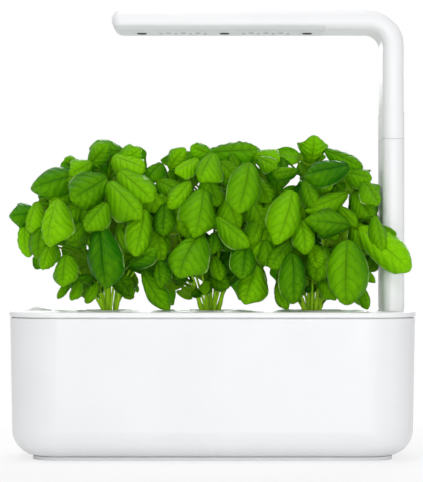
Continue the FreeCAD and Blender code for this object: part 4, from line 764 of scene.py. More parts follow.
@dataclass(frozen=True)
class BladeForm:
    """The form that all the leaves share, in millimetres and in shares of a leaf's own size."""

    fine_grid: tuple[int, int] = (28, 9)
    plain_grid: tuple[int, int] = (14, 6)
    row_mix: Span = (0.55, 0.45)
    column_mix: Span = (0.45, 0.55)
    bow_places: Span = (0.3, 0.85)
    bow_heading: Point = (1.0, 1.0, 0.2)
    stalk_turn: float = 0.5
    stalk_rise: float = 0.1
    stalk_bend: float = 0.3
    stalk_lift: float = 0.18
    stalk_end: float = 0.35
    stalk_rows: int = 6
    stalk_thick: float = 0.9
    tip_power: float = 0.9
    arch: float = 0.62
    swell_rise: Span = (0.05, 0.4)
    swell_fall: Span = (0.8, 1.0)
    opening: Span = (0.0, 0.12)
    wander: float = 0.06
    wander_turns: Span = (5.0, 2.0)
    edge_waves: Span = (13.0, 22.0)
    waves_apart: float = 1.3
    blade_from: float = 0.04
    half_thick: float = 0.24
    edge_thick: float = 0.1
    tip_half: float = 0.12
    # Painted light and shade in a leaf's tone: one half lighter and the other darker, darker towards the
    # base, darker towards the edge
    painted_half_shade: float = 0.2
    painted_base_shade: float = 0.24
    painted_edge_shade: float = -0.3
    tone_offset: float = 0.08
    mast_front: float = 26.5
    mast_span: Span = (0.0, 0.6)

    def middle_line(self, leaf: Leaf, root: np.ndarray, count: int) -> tuple[np.ndarray, np.ndarray]:
        """A leaf's middle line: its stalk as a cubic curve, then its blade as one that bows out and back.

        Args:
            leaf: The leaf.
            root: Where its stalk leaves the stem.
            count: Points along the blade.

        Returns:
            The points, and for each the share along the blade, 0 on the stalk.
        """
        along, out = leaf.tip - leaf.base, leaf.facing() * np.array(self.bow_heading) * leaf.length
        near, far = (leaf.base + along * place + out * leaf.bow for place in self.bow_places)
        turned = unit(near - leaf.base) * self.stalk_turn + unit(leaf.base - root)
        start = unit(turned + np.array([0.0, 0.0, self.stalk_rise]))
        reach = float(np.linalg.norm(leaf.base - root))
        rise = root + (leaf.base - root) * self.stalk_bend + np.array([0.0, 0.0, self.stalk_lift * reach])
        stalk = bezier(np.array([root, rise, leaf.base - start * (self.stalk_end * reach), leaf.base]),
                       np.linspace(0.0, 1.0, self.stalk_rows + 1)[:-1])
        steps = np.linspace(0.0, 1.0, count)
        eased = 0.5 - 0.5 * np.cos(math.pi * steps**self.tip_power)
        share = self.row_mix[0] * eased + self.row_mix[1] * steps
        blade = bezier(np.array([leaf.base, near, far, leaf.tip - out * leaf.hook]), share)
        return np.concatenate([stalk, blade]), np.concatenate([np.zeros(len(stalk)), share])

    def relief(self, leaf: Leaf, share: np.ndarray, edge: np.ndarray, waves: np.ndarray) -> np.ndarray:
        """How far a blade stands out, as a share of its half width.

        Each half arches by v (1 - v), folds by v and rolls back by v^2, where v is the share from the midrib
        to the edge. Swells of sin^2 lie between the side veins, which start at u - 0.3 v^1.25, and the edge
        waves by v^3 along u.

        Args:
            leaf: The leaf.
            share: The share u along the blade, for each ring.
            edge: The share v, for each point of a ring.
            waves: The edge's waves, for each point.

        Returns:
            The relief, for each point.
        """
        form = self.arch * edge * (1.0 - edge) + leaf.fold * edge - leaf.cup * edge**2
        swells = np.sin(math.pi * SIDE_VEINS * (share - VEIN_LEAD * edge**VEIN_BEND)) ** 2
        rising, falling = smooth_step(*self.swell_rise, edge), smooth_step(*self.swell_fall, edge)
        return form + leaf.swell * swells * rising * (1.0 - falling) + leaf.wave * waves * edge**3

    def off_mast(self, leaf: Leaf, centre: np.ndarray, front: np.ndarray, mast_left: float) -> np.ndarray:
        """How far a leaf is drawn to the left where it would reach into the mast, by more towards its tip.

        Args:
            leaf: The leaf.
            centre: The middle of its sheet.
            front: Its front side.
            mast_left: The mast's left side, from the pod's middle.

        Returns:
            The distance for each ring.
        """
        beside = np.abs(centre[..., 1]) < self.mast_front + leaf.width / 4.0
        past = max(float(np.max(front[..., 0], where=beside, initial=-math.inf)) - mast_left, 0.0)
        return past * smooth_step(*self.mast_span, np.linspace(0.0, 1.0, len(centre)))[:, None]

    def grid(self, leaf: Leaf, root: np.ndarray, mast_left: float,
             rng: np.random.Generator) -> tuple[np.ndarray, np.ndarray, np.ndarray]:
        """A leaf as one closed grid: its stalk's rings, then its blade's, front and back side in each ring.

        The half width is the leaf's times sin(pi u^0.9) to the power of its bluntness, and wanders a little.

        Args:
            leaf: The leaf.
            root: Where its stalk leaves the stem.
            mast_left: The mast's left side, from the pod's middle.
            rng: The source of its small differences.

        Returns:
            The grid of points in millimetres, its map places, which are below zero across the back side, and
            a tone for each point with painted shade: one half lighter than the other, darker towards the base
                and darker towards the edge.
        """
        count, columns = self.fine_grid if leaf.fine else self.plain_grid
        facing = leaf.facing()
        path, share = self.middle_line(leaf, root, count)
        tangent = unit(np.gradient(path, axis=0))
        across = unit(np.cross(-facing if leaf.turned else facing, tangent))
        outward = unit(np.cross(tangent, across))
        turn = (leaf.twist * share)[:, None]
        across = across * np.cos(turn) + outward * np.sin(turn)
        outward = unit(np.cross(tangent, across))
        inside = np.clip(share, 1e-6, 1.0 - 1e-4)
        half = leaf.width / 2.0 * np.sin(math.pi * inside**self.tip_power) ** leaf.blunt
        half = np.maximum(half, np.where(share < 0.5, leaf.stalk_half, self.tip_half))
        line = np.linspace(1.0, -1.0, columns)
        v = self.column_mix[0] * np.sin(line * math.pi / 2.0) + self.column_mix[1] * line
        share, edge, halves = share[:, None], np.abs(v)[None, :], np.sign(v)[None, :]
        spread = smooth_step(*self.opening, share)
        sway = np.sin(self.wander_turns[0] * share + leaf.phase + self.wander_turns[1] * halves)
        size = half[:, None] * (1.0 + self.wander * sway * spread)
        waves = np.sin(share * rng.uniform(*self.edge_waves) + leaf.phase + self.waves_apart * halves)
        relief = spread * size * self.relief(leaf, share, edge, waves)
        middle_thick = np.where(share < self.blade_from, leaf.stalk_half * self.stalk_thick, self.half_thick)
        thick = middle_thick * np.sqrt(1.0 - edge**2) + self.edge_thick
        centre = path[:, None] + across[:, None] * (size * v)[..., None]
        front = centre + outward[:, None] * (relief + thick)[..., None]
        back = centre + outward[:, None] * (relief - thick)[..., None]
        pull = self.off_mast(leaf, centre, front, mast_left)
        front[..., 0], back[..., 0] = front[..., 0] - pull, back[..., 0] - pull
        places = np.stack(np.broadcast_arrays((v[None, :] + 1.0) / 2.0, share), axis=-1)
        # Painted shade: one half lit and the other shaded, shade towards the base and towards the edge
        tone = leaf.tone + self.painted_half_shade * leaf.painted_light_side * v[None, :] + self.painted_base_shade * (share - 0.5)
        tone = tone + self.painted_edge_shade * edge**2 + self.tone_offset
        sides = ((front, back), (places, places * np.array([-1.0, 1.0])), (tone, tone))
        points, places, tones = (np.concatenate([one, other[:, ::-1]], axis=1) for one, other in sides)
        return points, places, tones


@dataclass(frozen=True)
class BasilPlant:
    """A basil plant in its pod: stems, leaves on stalks, and the smaller leaves and shoots between them."""

    pod: Pod
    pod_x: float
    stems: Sequence[StemRow]
    rows: Sequence[LeafRow]
    # Painted light and shade: tones for lit and shaded leaves, by number
    tones: dict[int, float]
    seed: int
    kinds: LeafKinds = LeafKinds()
    form: BladeForm = BladeForm()
    wider: float = 1.12
    longer: float = 0.05
    lowest_tip: float = 1.5
    usual_tone: float = 0.54
    back_tone: float = 0.5
    doubled_from: float = 11.0
    behind_sideways: Span = (-2.5, 2.5)
    behind_up: float = 1.5
    stalk_drop: float = 0.45
    stalk_low: float = 6.0
    stalk_high: float = 3.0
    stalk_depth: float = 0.6
    inner_leaves: int = 52
    inner_middle: Point = (0.92, 0.0, 0.97)
    inner_scatter: Point = (7.0, 11.0, 7.0)
    inner_outward: float = 0.02
    inner_sideways: float = 0.55
    inner_hang: Span = (-1.3, 0.1)
    inner_length: Span = (16.0, 28.0)
    inner_width: Span = (0.62, 0.8)
    inner_depth: Span = (9.0, 4.0)
    inner_drop: float = 4.0
    inner_lowest: float = 22.0
    # Painted light and shade: inner leaves are darker as shaded ones, and a share of them lighter as back-lit
    # ones
    inner_shaded_and_lit_tones: Span = (0.2, 0.95)
    inner_backlit_share: float = 0.16
    foot_leaves: int = 12
    foot_heights: Span = (0.12, 0.32)
    foot_length: Span = (6.5, 12.0)
    foot_stalk: Span = (3.0, 6.0)
    foot_rise: float = 0.35
    foot_width: float = 0.85
    # Painted shade: the small leaves low on the stems are darker
    foot_painted_shade: float = 0.25
    stem_radii: Span = (1.5, 0.75)
    stem_rows: int = 28
    stem_sides: int = 12
    stem_square: float = 0.09
    stem_sway: Span = (0.7, 0.6)
    sway_phases: Span = (2.1, 0.7)
    sway_turns: Span = (4.2, 3.1)
    stem_nodes: float = 6.0
    node_swell: float = 0.22
    node_share: float = 0.13
    shoots: int = 7
    shoot_radii: Span = (1.0, 0.5)
    shoot_rows: int = 22
    shoot_sides: int = 10
    shoot_square: float = 0.06
    shoot_spread: float = 66.0
    shoot_stray: Span = (-4.0, 4.0)
    shoot_foot: float = 0.11
    shoot_foot_depths: Span = (-6.0, 6.0)
    shoot_depths: Span = (-16.0, 12.0)
    shoot_heights: Span = (52.0, 78.0)
    shoot_lower: float = 0.35
    shoot_bend: Span = (0.55, 0.45)
    shoot_arch: Span = (6.0, 0.05)
    mast_left: float = 126.6

    @property
    def body(self) -> str:
        """The CAD body that the plant moves with."""
        return "pod_" + self.pod.value

    def stem_radius(self, share: np.ndarray | float) -> np.ndarray | float:
        """A stem's radius at a share of the way from foot to head."""
        return self.stem_radii[0] + (self.stem_radii[1] - self.stem_radii[0]) * share

    def stem_line(self, number: int, shares: np.ndarray) -> np.ndarray:
        """A stem's middle: a straight line with a slight sway, none at its ends.

        Args:
            number: The stem's number.
            shares: Places from foot to head, from 0 to 1.

        Returns:
            One point for each share.
        """
        foot, head = (np.array(end, dtype=float) for end in self.stems[number])
        foot[2] = STEM_FOOT
        phase = self.sway_phases[0] * number + self.sway_phases[1] * self.seed
        path = foot + (head - foot) * shares[:, None]
        swing = np.sin(math.pi * shares)
        path[:, 0] += self.stem_sway[0] * swing * np.sin(self.sway_turns[0] * shares + phase)
        path[:, 1] += self.stem_sway[1] * swing * np.cos(self.sway_turns[1] * shares + phase)
        return path

    def root_of(self, base: np.ndarray) -> np.ndarray:
        """Where a leaf's stalk leaves the nearest stem, a little below the leaf's base.

        Args:
            base: The leaf's base.

        Returns:
            The point just inside the stem's skin.
        """
        best, best_gap = base, math.inf
        for number in range(len(self.stems)):
            foot, head = (np.array(end, dtype=float) for end in self.stems[number])
            rise = head[2] - STEM_FOOT
            level = foot + (head - foot) * (base[2] - STEM_FOOT) / rise
            height = max(base[2] - self.stalk_drop * np.linalg.norm(base - level), STEM_FOOT + self.stalk_low)
            height = min(height, head[2] - self.stalk_high)
            share = (height - STEM_FOOT) / rise
            centre = self.stem_line(number, np.array([share]))[0]
            gap = base - centre
            distance = float(np.linalg.norm(gap))
            if distance < best_gap:
                best = centre + gap / max(distance, 1e-6) * self.stem_radius(share) * self.stalk_depth
                best_gap = distance
        return best

    def leaves(self, rng: np.random.Generator) -> list[Leaf]:
        """Every leaf of the plant: those seen in front, their like at the back, and smaller ones between.

        Args:
            rng: The source of the small differences.

        Returns:
            The leaves.
        """
        found: list[Leaf] = []
        for number, (base, tip, width) in enumerate(self.rows):
            low, high = np.array(base, dtype=float), np.array(tip, dtype=float)
            low, high = low - (high - low) * self.longer, high + (high - low) * self.longer
            low[2], high[2] = max(low[2], self.lowest_tip), max(high[2], self.lowest_tip)
            # Painted light and shade: listed leaves are lighter as lit ones and darker as shaded ones
            tone = self.tones.get(number, self.usual_tone)
            found.append(self.kinds.draw(low, high, width * self.wider, rng, tone))
            if low[1] < -self.doubled_from:
                flip = np.array([1.0, -1.0, 1.0])
                shift = np.array([rng.uniform(*self.behind_sideways), 0.0, self.behind_up])
                low, high = low * flip + shift, high * flip + shift
                found.append(self.kinds.draw(low, high, width * self.wider, rng, self.back_tone))
        return found + self.inner(found, rng) + self.near_foot(rng)

    def inner(self, seen: Sequence[Leaf], rng: np.random.Generator) -> list[Leaf]:
        """Leaves behind the outer ones, each hung near the middle of one of them.

        Args:
            seen: The outer leaves.
            rng: The source of their places.

        Returns:
            The inner leaves.
        """
        found = []
        for _ in range(self.inner_leaves):
            outer = seen[int(rng.integers(len(seen)))]
            scatter = rng.normal(0.0, 1.0, 3) * np.array(self.inner_scatter)
            middle = outer.middle * np.array(self.inner_middle) + scatter
            length = rng.uniform(*self.inner_length)
            sideways = self.inner_outward * middle[0] + rng.normal(0.0, self.inner_sideways)
            heading = np.array([sideways, self.inner_outward * middle[1], rng.uniform(*self.inner_hang)])
            half = unit(heading) * length / 2.0
            depth = max(abs(outer.middle[1]) - self.inner_depth[0], self.inner_depth[1])
            middle[1] = min(max(middle[1], -depth), depth)
            top = max(outer.base[2], outer.tip[2]) - self.inner_drop
            middle[2] = max(min(middle[2], top - abs(half[2])), self.inner_lowest)
            # Painted light and shade: a dark tone for shaded inner leaves, a light one for back-lit ones
            tone = self.inner_shaded_and_lit_tones[int(rng.random() < self.inner_backlit_share)]
            width = length * rng.uniform(*self.inner_width)
            found.append(self.kinds.draw(middle - half, middle + half, width, rng, tone, fine=False))
        return found

    def near_foot(self, rng: np.random.Generator) -> list[Leaf]:
        """Small round leaves low on the stems.

        Args:
            rng: The source of their places.

        Returns:
            The small leaves.
        """
        found = []
        for _ in range(self.foot_leaves):
            number = int(rng.integers(len(self.stems)))
            node = self.stem_line(number, np.array([rng.uniform(*self.foot_heights)]))[0]
            heading = rng.uniform(0.0, 2.0 * math.pi)
            out = np.array([math.cos(heading), math.sin(heading), self.foot_rise])
            length = rng.uniform(*self.foot_length)
            base = node + out * rng.uniform(*self.foot_stalk)
            width = length * self.foot_width
            # Painted shade: the low leaves take a dark tone
            found.append(self.kinds.draw(base, base + out * length, width, rng, self.foot_painted_shade, fine=False))
        return found

    def shoot_line(self, number: int, rng: np.random.Generator) -> np.ndarray:
        """A thin shoot's middle: a quadratic curve from the foot that leans out to one side.

        Args:
            number: The shoot's number.
            rng: The source of its small differences.

        Returns:
            Points along it.
        """
        reach = (number / (self.shoots - 1) - 0.5) * self.shoot_spread + rng.uniform(*self.shoot_stray)
        foot = np.array([reach * self.shoot_foot, rng.uniform(*self.shoot_foot_depths), STEM_FOOT])
        depth, height = rng.uniform(*self.shoot_depths), rng.uniform(*self.shoot_heights)
        head = np.array([reach, depth, height - self.shoot_lower * abs(reach)])
        arch = self.shoot_arch[0] - self.shoot_arch[1] * abs(reach)
        bend = foot * self.shoot_bend[0] + head * self.shoot_bend[1] + np.array([0.0, 0.0, arch])
        return bezier(np.array([foot, bend, head]), np.linspace(0.0, 1.0, self.shoot_rows))

    def build(self, leaf_finish: bpy.types.Material, stem_finish: bpy.types.Material) -> None:
        """Makes the plant's leaves and stems. A stem thickens by a bell curve at each of its nodes.

        Args:
            leaf_finish: The finish of the blades.
            stem_finish: The finish of the stems.
        """
        rng = np.random.default_rng(self.seed)
        origin = np.array([self.pod_x, 0.0, LID_TOP])
        blades, stems = MeshParts(), MeshParts()
        for leaf in self.leaves(rng):
            root = self.root_of(leaf.base)
            grid, places, tones = self.form.grid(leaf, root, self.mast_left - self.pod_x, rng)
            blades.add((grid + origin) * MM, places, tones)
        shares = np.linspace(0.0, 1.0, self.stem_rows)
        off_node = ((shares * self.stem_nodes) % 1.0 - 0.5) / self.node_share
        radii = self.stem_radius(shares) * (1.0 + self.node_swell * np.exp(-(off_node**2)))
        for number in range(len(self.stems)):
            stem = tube(self.stem_line(number, shares), radii, self.stem_sides, self.stem_square)
            stems.add((stem + origin) * MM)
        radii = np.linspace(*self.shoot_radii, self.shoot_rows)
        for number in range(self.shoots):
            shoot = tube(self.shoot_line(number, rng), radii, self.shoot_sides, self.shoot_square)
            stems.add((shoot + origin) * MM)
        pod = self.pod.value
        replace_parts(blades.build("leaves_" + pod, leaf_finish, self.body), "basil_leaves_" + pod)
        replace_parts(stems.build("stems_" + pod, stem_finish, self.body), "basil_stems_" + pod)


# A leaf is its base, its tip and its width
LEAVES = {
    Pod.LEFT: (
        ((9, -2, 121), (-13, -8, 123), 17), ((5, -14, 116), (29, -24, 107), 27),
        ((-13, -25, 111), (-27, -33, 103), 15), ((-24, -5, 112), (-33, -8, 115), 8),
        ((-22, -17, 103), (-57, -24, 93), 23), ((-1, -40, 99), (-25, -50, 84), 25),
        ((-37, -34, 82), (-43, -45, 50), 25), ((-54, -14, 81), (-59, -22, 60), 15),
        ((-63, -3, 68), (-62, -8, 42), 14), ((-42, -28, 50), (-48, -33, 32), 12),
        ((-30, -42, 41), (-32, -48, 20), 18), ((-28, 6, 73), (-40, 6, 66), 11),
        ((-1, -44, 80), (-15, -52, 62), 19), ((-17, -26, 66), (-30, -34, 54), 13),
        ((-4, -46, 60), (1, -55, 20), 25), ((3, -42, 95), (25, -51, 70), 22),
        ((6, -28, 82), (21, -35, 65), 13), ((10, -28, 104), (34, -38, 83), 21),
        ((28, -42, 74), (22, -50, 43), 18), ((9, -30, 61), (16, -35, 46), 9),
        ((18, -36, 36), (36, -46, 46), 13), ((-30, -20, 21), (-38, -24, 10), 6),
        ((-21, -34, 22), (-26, -38, 9), 9), ((-8, -22, 20), (-16, -28, 7), 8),
        ((17, -14, 19), (19, -18, 12), 4), ((-6, 17, 84), (-13, 21, 60), 14),
        ((26, 14, 86), (32, 18, 62), 18), ((-24, 17, 58), (-33, 20, 38), 17),
        ((24, 37, 96), (29, 45, 70), 18), ((26, 36, 56), (30, 44, 32), 18),
        ((-26, 38, 48), (-30, 46, 26), 18), ((12, 28, 116), (26, 34, 106), 16),
        ((6, -10, 112), (24, -16, 122), 16), ((-14, -10, 110), (-1, -14, 125), 15),
        ((26, -18, 96), (40, -26, 74), 18), ((30, -20, 72), (42, -28, 52), 16),
        ((38, -14, 98), (56, -20, 88), 14), ((-28, -14, 90), (-44, -22, 78), 16),
        ((-20, -16, 80), (-38, -24, 70), 20), ((-46, -12, 74), (-52, -22, 40), 22),
        ((-34, -18, 100), (-12, -24, 104), 16), ((-8, -22, 84), (-14, -30, 60), 20),
        ((14, -20, 70), (22, -28, 44), 20), ((34, -22, 62), (40, -30, 36), 20),
    ),
    Pod.MIDDLE: (
        ((1, -3, 120), (38, -13, 122), 20), ((-12, -4, 119), (-30, -12, 116), 15),
        ((-24, 8, 119), (-37, 7, 115), 9), ((-37, -8, 111), (-48, -12, 99), 17),
        ((-10, -22, 114), (-26, -30, 104), 14), ((2, -36, 117), (-8, -45, 98), 21),
        ((16, -14, 118), (21, -19, 107), 10), ((-16, -30, 96), (-30, -38, 79), 14),
        ((-5, -42, 89), (-11, -54, 57), 27), ((-34, -26, 79), (-35, -38, 58), 17),
        ((-8, -44, 56), (-21, -55, 27), 30), ((-38, -34, 37), (-36, -40, 19), 14),
        ((-49, -26, 29), (-32, -37, 2), 15), ((29, -40, 109), (21, -50, 75), 23),
        ((6, -42, 69), (29, -52, 50), 16), ((25, -40, 50), (23, -50, 26), 19),
        ((34, -34, 33), (26, -46, 7), 22), ((3, -34, 58), (2, -40, 44), 12),
        ((37, -24, 115), (50, -30, 108), 13), ((37, -22, 70), (30, -30, 52), 13),
        ((-2, -22, 22), (-4, -28, 13), 8), ((4, -26, 40), (8, -32, 24), 11),
        ((-40, -10, 68), (-44, -16, 46), 14), ((6, 16, 104), (12, 19, 84), 16),
        ((39, 3, 103), (44, 1, 84), 14), ((42, -4, 80), (47, -9, 58), 13), ((-14, 17, 88), (-22, 21, 64), 18),
        ((22, 16, 92), (27, 20, 68), 18), ((-14, 17, 58), (-16, 21, 36), 15),
        ((18, 17, 56), (24, 21, 34), 16), ((-26, 16, 60), (-32, 20, 40), 16),
        ((-24, 24, 98), (-34, 32, 80), 18), ((14, 38, 66), (22, 46, 42), 20),
        ((-14, 26, 112), (-28, 32, 102), 16), ((32, 30, 60), (36, 40, 38), 16),
        ((-30, -10, 108), (-20, -16, 122), 16), ((2, -10, 118), (-14, -16, 124), 12),
        ((34, -10, 118), (52, -18, 114), 16), ((42, -28, 52), (46, -34, 34), 15),
        ((-3, -16, 100), (6, -24, 80), 18), ((-26, -14, 94), (-40, -20, 78), 16),
        ((34, -12, 100), (44, -20, 82), 18), ((30, -16, 84), (42, -24, 62), 18),
        ((-20, -20, 84), (-14, -28, 56), 20), ((12, -18, 84), (22, -26, 62), 20),
        ((-36, -16, 64), (-44, -22, 42), 18), ((36, -18, 58), (44, -26, 36), 20),
        ((8, -16, 112), (20, -22, 100), 18), ((-12, -14, 60), (-6, -24, 36), 18),
    ),
    Pod.RIGHT: (
        ((0, -2, 114), (2, -10, 132), 21), ((-8, 6, 116), (-28, 4, 120), 13),
        ((25, -34, 109), (-6, -46, 102), 20), ((12, -6, 121), (38, -14, 108), 13),
        ((41, -24, 97), (52, -34, 80), 17), ((43, -5, 88), (46, -10, 70), 10),
        ((46, -37, 70), (51, -45, 45), 13), ((37, -31, 61), (71, -46, 32), 23),
        ((25, -46, 51), (23, -56, 8), 28), ((-16, -44, 88), (-27, -54, 52), 24),
        ((-16, -42, 42), (-15, -52, 8), 19), ((25, -38, 65), (-3, -48, 68), 21),
        ((-9, -36, 67), (-6, -46, 44), 16), ((0, -26, 49), (4, -34, 33), 13),
        ((25, -22, 88), (-4, -32, 76), 15), ((-6, -26, 97), (1, -34, 78), 13),
        ((-19, -32, 50), (-32, -42, 33), 16), ((-12, -17, 106), (-29, -24, 103), 11),
        ((-30, -12, 92), (-34, -16, 80), 8), ((-27, -26, 18), (-20, -34, 1.5), 10),
        ((36, -26, 19), (41, -32, 1.5), 9), ((6, -22, 24), (17, -30, 9), 11),
        ((20, -26, 78), (33, -33, 64), 11), ((40, -20, 31), (47, -24, 22), 6),
        ((4, 14, 112), (10, 18, 94), 15), ((34, 14, 86), (44, 18, 62), 18), ((50, -30, 64), (63, -34, 57), 7),
        ((-14, 17, 94), (-22, 21, 70), 18), ((20, 16, 70), (25, 20, 48), 14), ((8, 39, 92), (2, 48, 66), 20),
        ((36, 29, 96), (47, 37, 78), 18), ((-18, 36, 44), (-22, 46, 20), 18),
        ((2, -14, 100), (14, -22, 92), 16), ((32, -18, 88), (44, -26, 70), 16),
        ((-26, -14, 84), (-36, -22, 62), 18), ((10, -18, 72), (18, -24, 54), 16),
        ((26, -16, 104), (44, -24, 100), 16), ((36, -16, 94), (50, -26, 84), 16),
        ((-4, -18, 84), (-18, -26, 66), 20), ((30, -22, 66), (44, -30, 50), 18),
        ((-30, -18, 66), (-38, -24, 44), 18), ((8, -22, 48), (2, -30, 24), 20),
    ),
}
# A stem is its foot and its head
STEMS = {
    Pod.LEFT: (
        ((-4, -3, 0), (-22, -9, 88)), ((-1, 2, 0), (-1, -1, 102)), ((5, -2, 0), (18, -6, 84)),
        ((-3, 5, 0), (-16, 10, 78)), ((4, 4, 0), (12, 11, 80)),
    ),
    Pod.MIDDLE: (
        ((-6, -2, 0), (-30, -7, 82)), ((-2, 3, 0), (-6, -1, 99)), ((3, -3, 0), (10, -8, 100)),
        ((6, 2, 0), (27, -3, 92)), ((0, 7, 0), (4, 12, 76)),
    ),
    Pod.RIGHT: (
        ((-5, -2, 0), (-22, -7, 84)), ((-1, 3, 0), (-3, 0, 97)), ((3, -3, 0), (14, -7, 90)),
        ((6, 2, 0), (30, -4, 76)), ((0, 7, 0), (5, 12, 80)),
    ),
}
# Painted light and shade: leaves lighter than the rest as lit ones and darker as shaded ones, by their number
PAINTED_LEAF_SHADES = {
    Pod.LEFT: {
        0: 0.4, 1: 0.7, 4: 0.38, 6: 0.86, 7: 0.7, 8: 0.92, 9: 0.8, 12: 0.6,
        14: 0.28, 16: 0.22, 20: 0.2,
    },
    Pod.MIDDLE: {
        0: 0.35, 3: 0.4, 4: 0.9, 7: 0.7, 8: 0.62, 9: 0.12, 10: 0.5, 12: 0.34,
        13: 0.6, 14: 0.36, 15: 0.14, 16: 0.62,
    },
    Pod.RIGHT: {
        0: 0.66, 1: 0.74, 2: 0.26, 5: 0.98, 6: 0.5, 7: 0.78, 8: 0.42, 9: 0.55,
        10: 0.3, 11: 0.16, 12: 0.55, 14: 0.5,
    },
}
PLANTS = tuple(
    BasilPlant(pod, pod_x, STEMS[pod], LEAVES[pod], PAINTED_LEAF_SHADES[pod], seed)
    for pod, pod_x, seed in ((Pod.LEFT, -79.0, 5), (Pod.MIDDLE, -2.0, 11), (Pod.RIGHT, 75.0, 23))
)


# Housing
PODS = tuple(pod.value for pod in Pod)
FINISHES = (
    SkinFinish("White shell", ("casing", "mast_extension", "lamp_collar", "lamp_arm_shell"),
               (0.86, 0.865, 0.87), (0.83, 0.835, 0.845), grain=1500.0, relief=0.05),
    SkinFinish("Lid white", ("lid",), (0.88, 0.885, 0.89), (0.86, 0.865, 0.875), 0.36, 0.44, 1500.0, 0.04),
    SkinFinish("Lamp cover white", ("lamp_lower_cover",),
               (0.8, 0.81, 0.83), (0.77, 0.78, 0.8), 0.4, 0.5, 1300.0, 0.1),
    SkinFinish("Plinth white", ("base_plate",),
               (0.8, 0.81, 0.82), (0.76, 0.77, 0.78), 0.45, 0.55, 1100.0, 0.15),
    SkinFinish("Inner white", ("lamp_socket", "float_guide", "contact_carriers", "lead_connectors"),
               (0.78, 0.79, 0.8), (0.73, 0.74, 0.75), 0.4, 0.55),
    SkinFinish("Tank grey", ("water_tank",), (0.5, 0.52, 0.54), (0.45, 0.47, 0.49), 0.35, 0.5),
    SkinFinish("Float white", ("float_cap", "float_stem"),
               (0.88, 0.885, 0.89), (0.85, 0.855, 0.86), 0.25, 0.34, 1500.0, 0.04),
    SkinFinish("Float foam", ("float_block",), (0.8, 0.8, 0.77), (0.68, 0.68, 0.65), 0.75, 0.9, 420.0, 0.7),
    SkinFinish("Foot rubber", ("rubber_feet",),
               (0.05, 0.05, 0.052), (0.03, 0.03, 0.031), 0.7, 0.85, 700.0, 0.4),
    SkinFinish("Screw steel", ("base_screws",),
               (0.62, 0.63, 0.64), (0.5, 0.51, 0.52), 0.2, 0.36, 900.0, 0.2, metallic=1.0),
    SkinFinish("Screw black", ("lamp_screws",),
               (0.035, 0.035, 0.04), (0.015, 0.015, 0.018), 0.28, 0.45, 900.0, 0.2),
    SkinFinish("Plug black", ("lamp_plugs",),
               (0.03, 0.03, 0.033), (0.015, 0.015, 0.017), 0.5, 0.65, 800.0, 0.3),
    SkinFinish("Contact brass", ("socket_contacts", "extension_contacts", "lamp_contacts"),
               (0.72, 0.53, 0.24), (0.58, 0.4, 0.16), 0.18, 0.36, 900.0, 0.2, metallic=1.0),
    SkinFinish("Board green", ("control_board",),
               (0.02, 0.16, 0.07), (0.012, 0.11, 0.045), 0.25, 0.4, 1100.0, 0.3, coat=0.4),
    SkinFinish("Component black", ("board_components", "dc_inlet"),
               (0.03, 0.03, 0.032), (0.018, 0.018, 0.02), 0.35, 0.5),
    SkinFinish("Lead black", ("base_leads", "lamp_leads"),
               (0.03, 0.03, 0.03), (0.015, 0.015, 0.015), 0.4, 0.55),
    SkinFinish("Lens smoke", ("led_lenses",),
               (0.36, 0.37, 0.38), (0.28, 0.29, 0.3), 0.08, 0.16, 900.0, 0.02, coat=0.4),
    SkinFinish("Emitter", ("leds",), (0.85, 0.8, 0.45), (0.8, 0.7, 0.3), 0.2, 0.3),
    SkinFinish("Board white", ("led_board",), (0.8, 0.81, 0.8), (0.75, 0.76, 0.75), 0.25, 0.35, coat=0.3),
    SkinFinish("Sheet aluminium", ("heat_spreader",),
               (0.78, 0.79, 0.8), (0.66, 0.67, 0.68), 0.28, 0.45, 1200.0, 0.25, metallic=1.0),
    SkinFinish("Cup white", tuple("pod_cup_" + pod for pod in PODS),
               (0.84, 0.845, 0.84), (0.8, 0.805, 0.8), 0.32, 0.45),
    SkinFinish("Cover white", tuple("pod_cover_" + pod for pod in PODS),
               (0.86, 0.86, 0.84), (0.8, 0.8, 0.78), 0.55, 0.7, 700.0, 0.3),
    SkinFinish("Growing medium", tuple("growing_medium_" + pod for pod in PODS),
               (0.09, 0.055, 0.03), (0.02, 0.012, 0.008), 0.85, 0.98, 420.0, 1.0),
    SkinFinish("Wick cloth", tuple("wick_" + pod for pod in PODS),
               (0.75, 0.73, 0.68), (0.6, 0.58, 0.53), 0.85, 0.95, 520.0, 0.9),
)


# Studio
WHITE = (1.0, 1.0, 1.0)


@dataclass(frozen=True)
class AreaLight:
    """A soft box that looks at a point."""

    name: str
    place: Point
    aim: Point
    power: float
    width: float
    height: float

    def build(self) -> None:
        """Adds the light."""
        data = bpy.data.lights.new(self.name, "AREA")
        data.shape, data.size, data.size_y, data.energy = "RECTANGLE", self.width, self.height, self.power
        lamp = bpy.data.objects.new(self.name, data)
        lamp.location = self.place
        lamp.rotation_euler = (Vector(self.aim) - Vector(self.place)).to_track_quat("-Z", "Y").to_euler()
        bpy.context.scene.collection.objects.link(lamp)


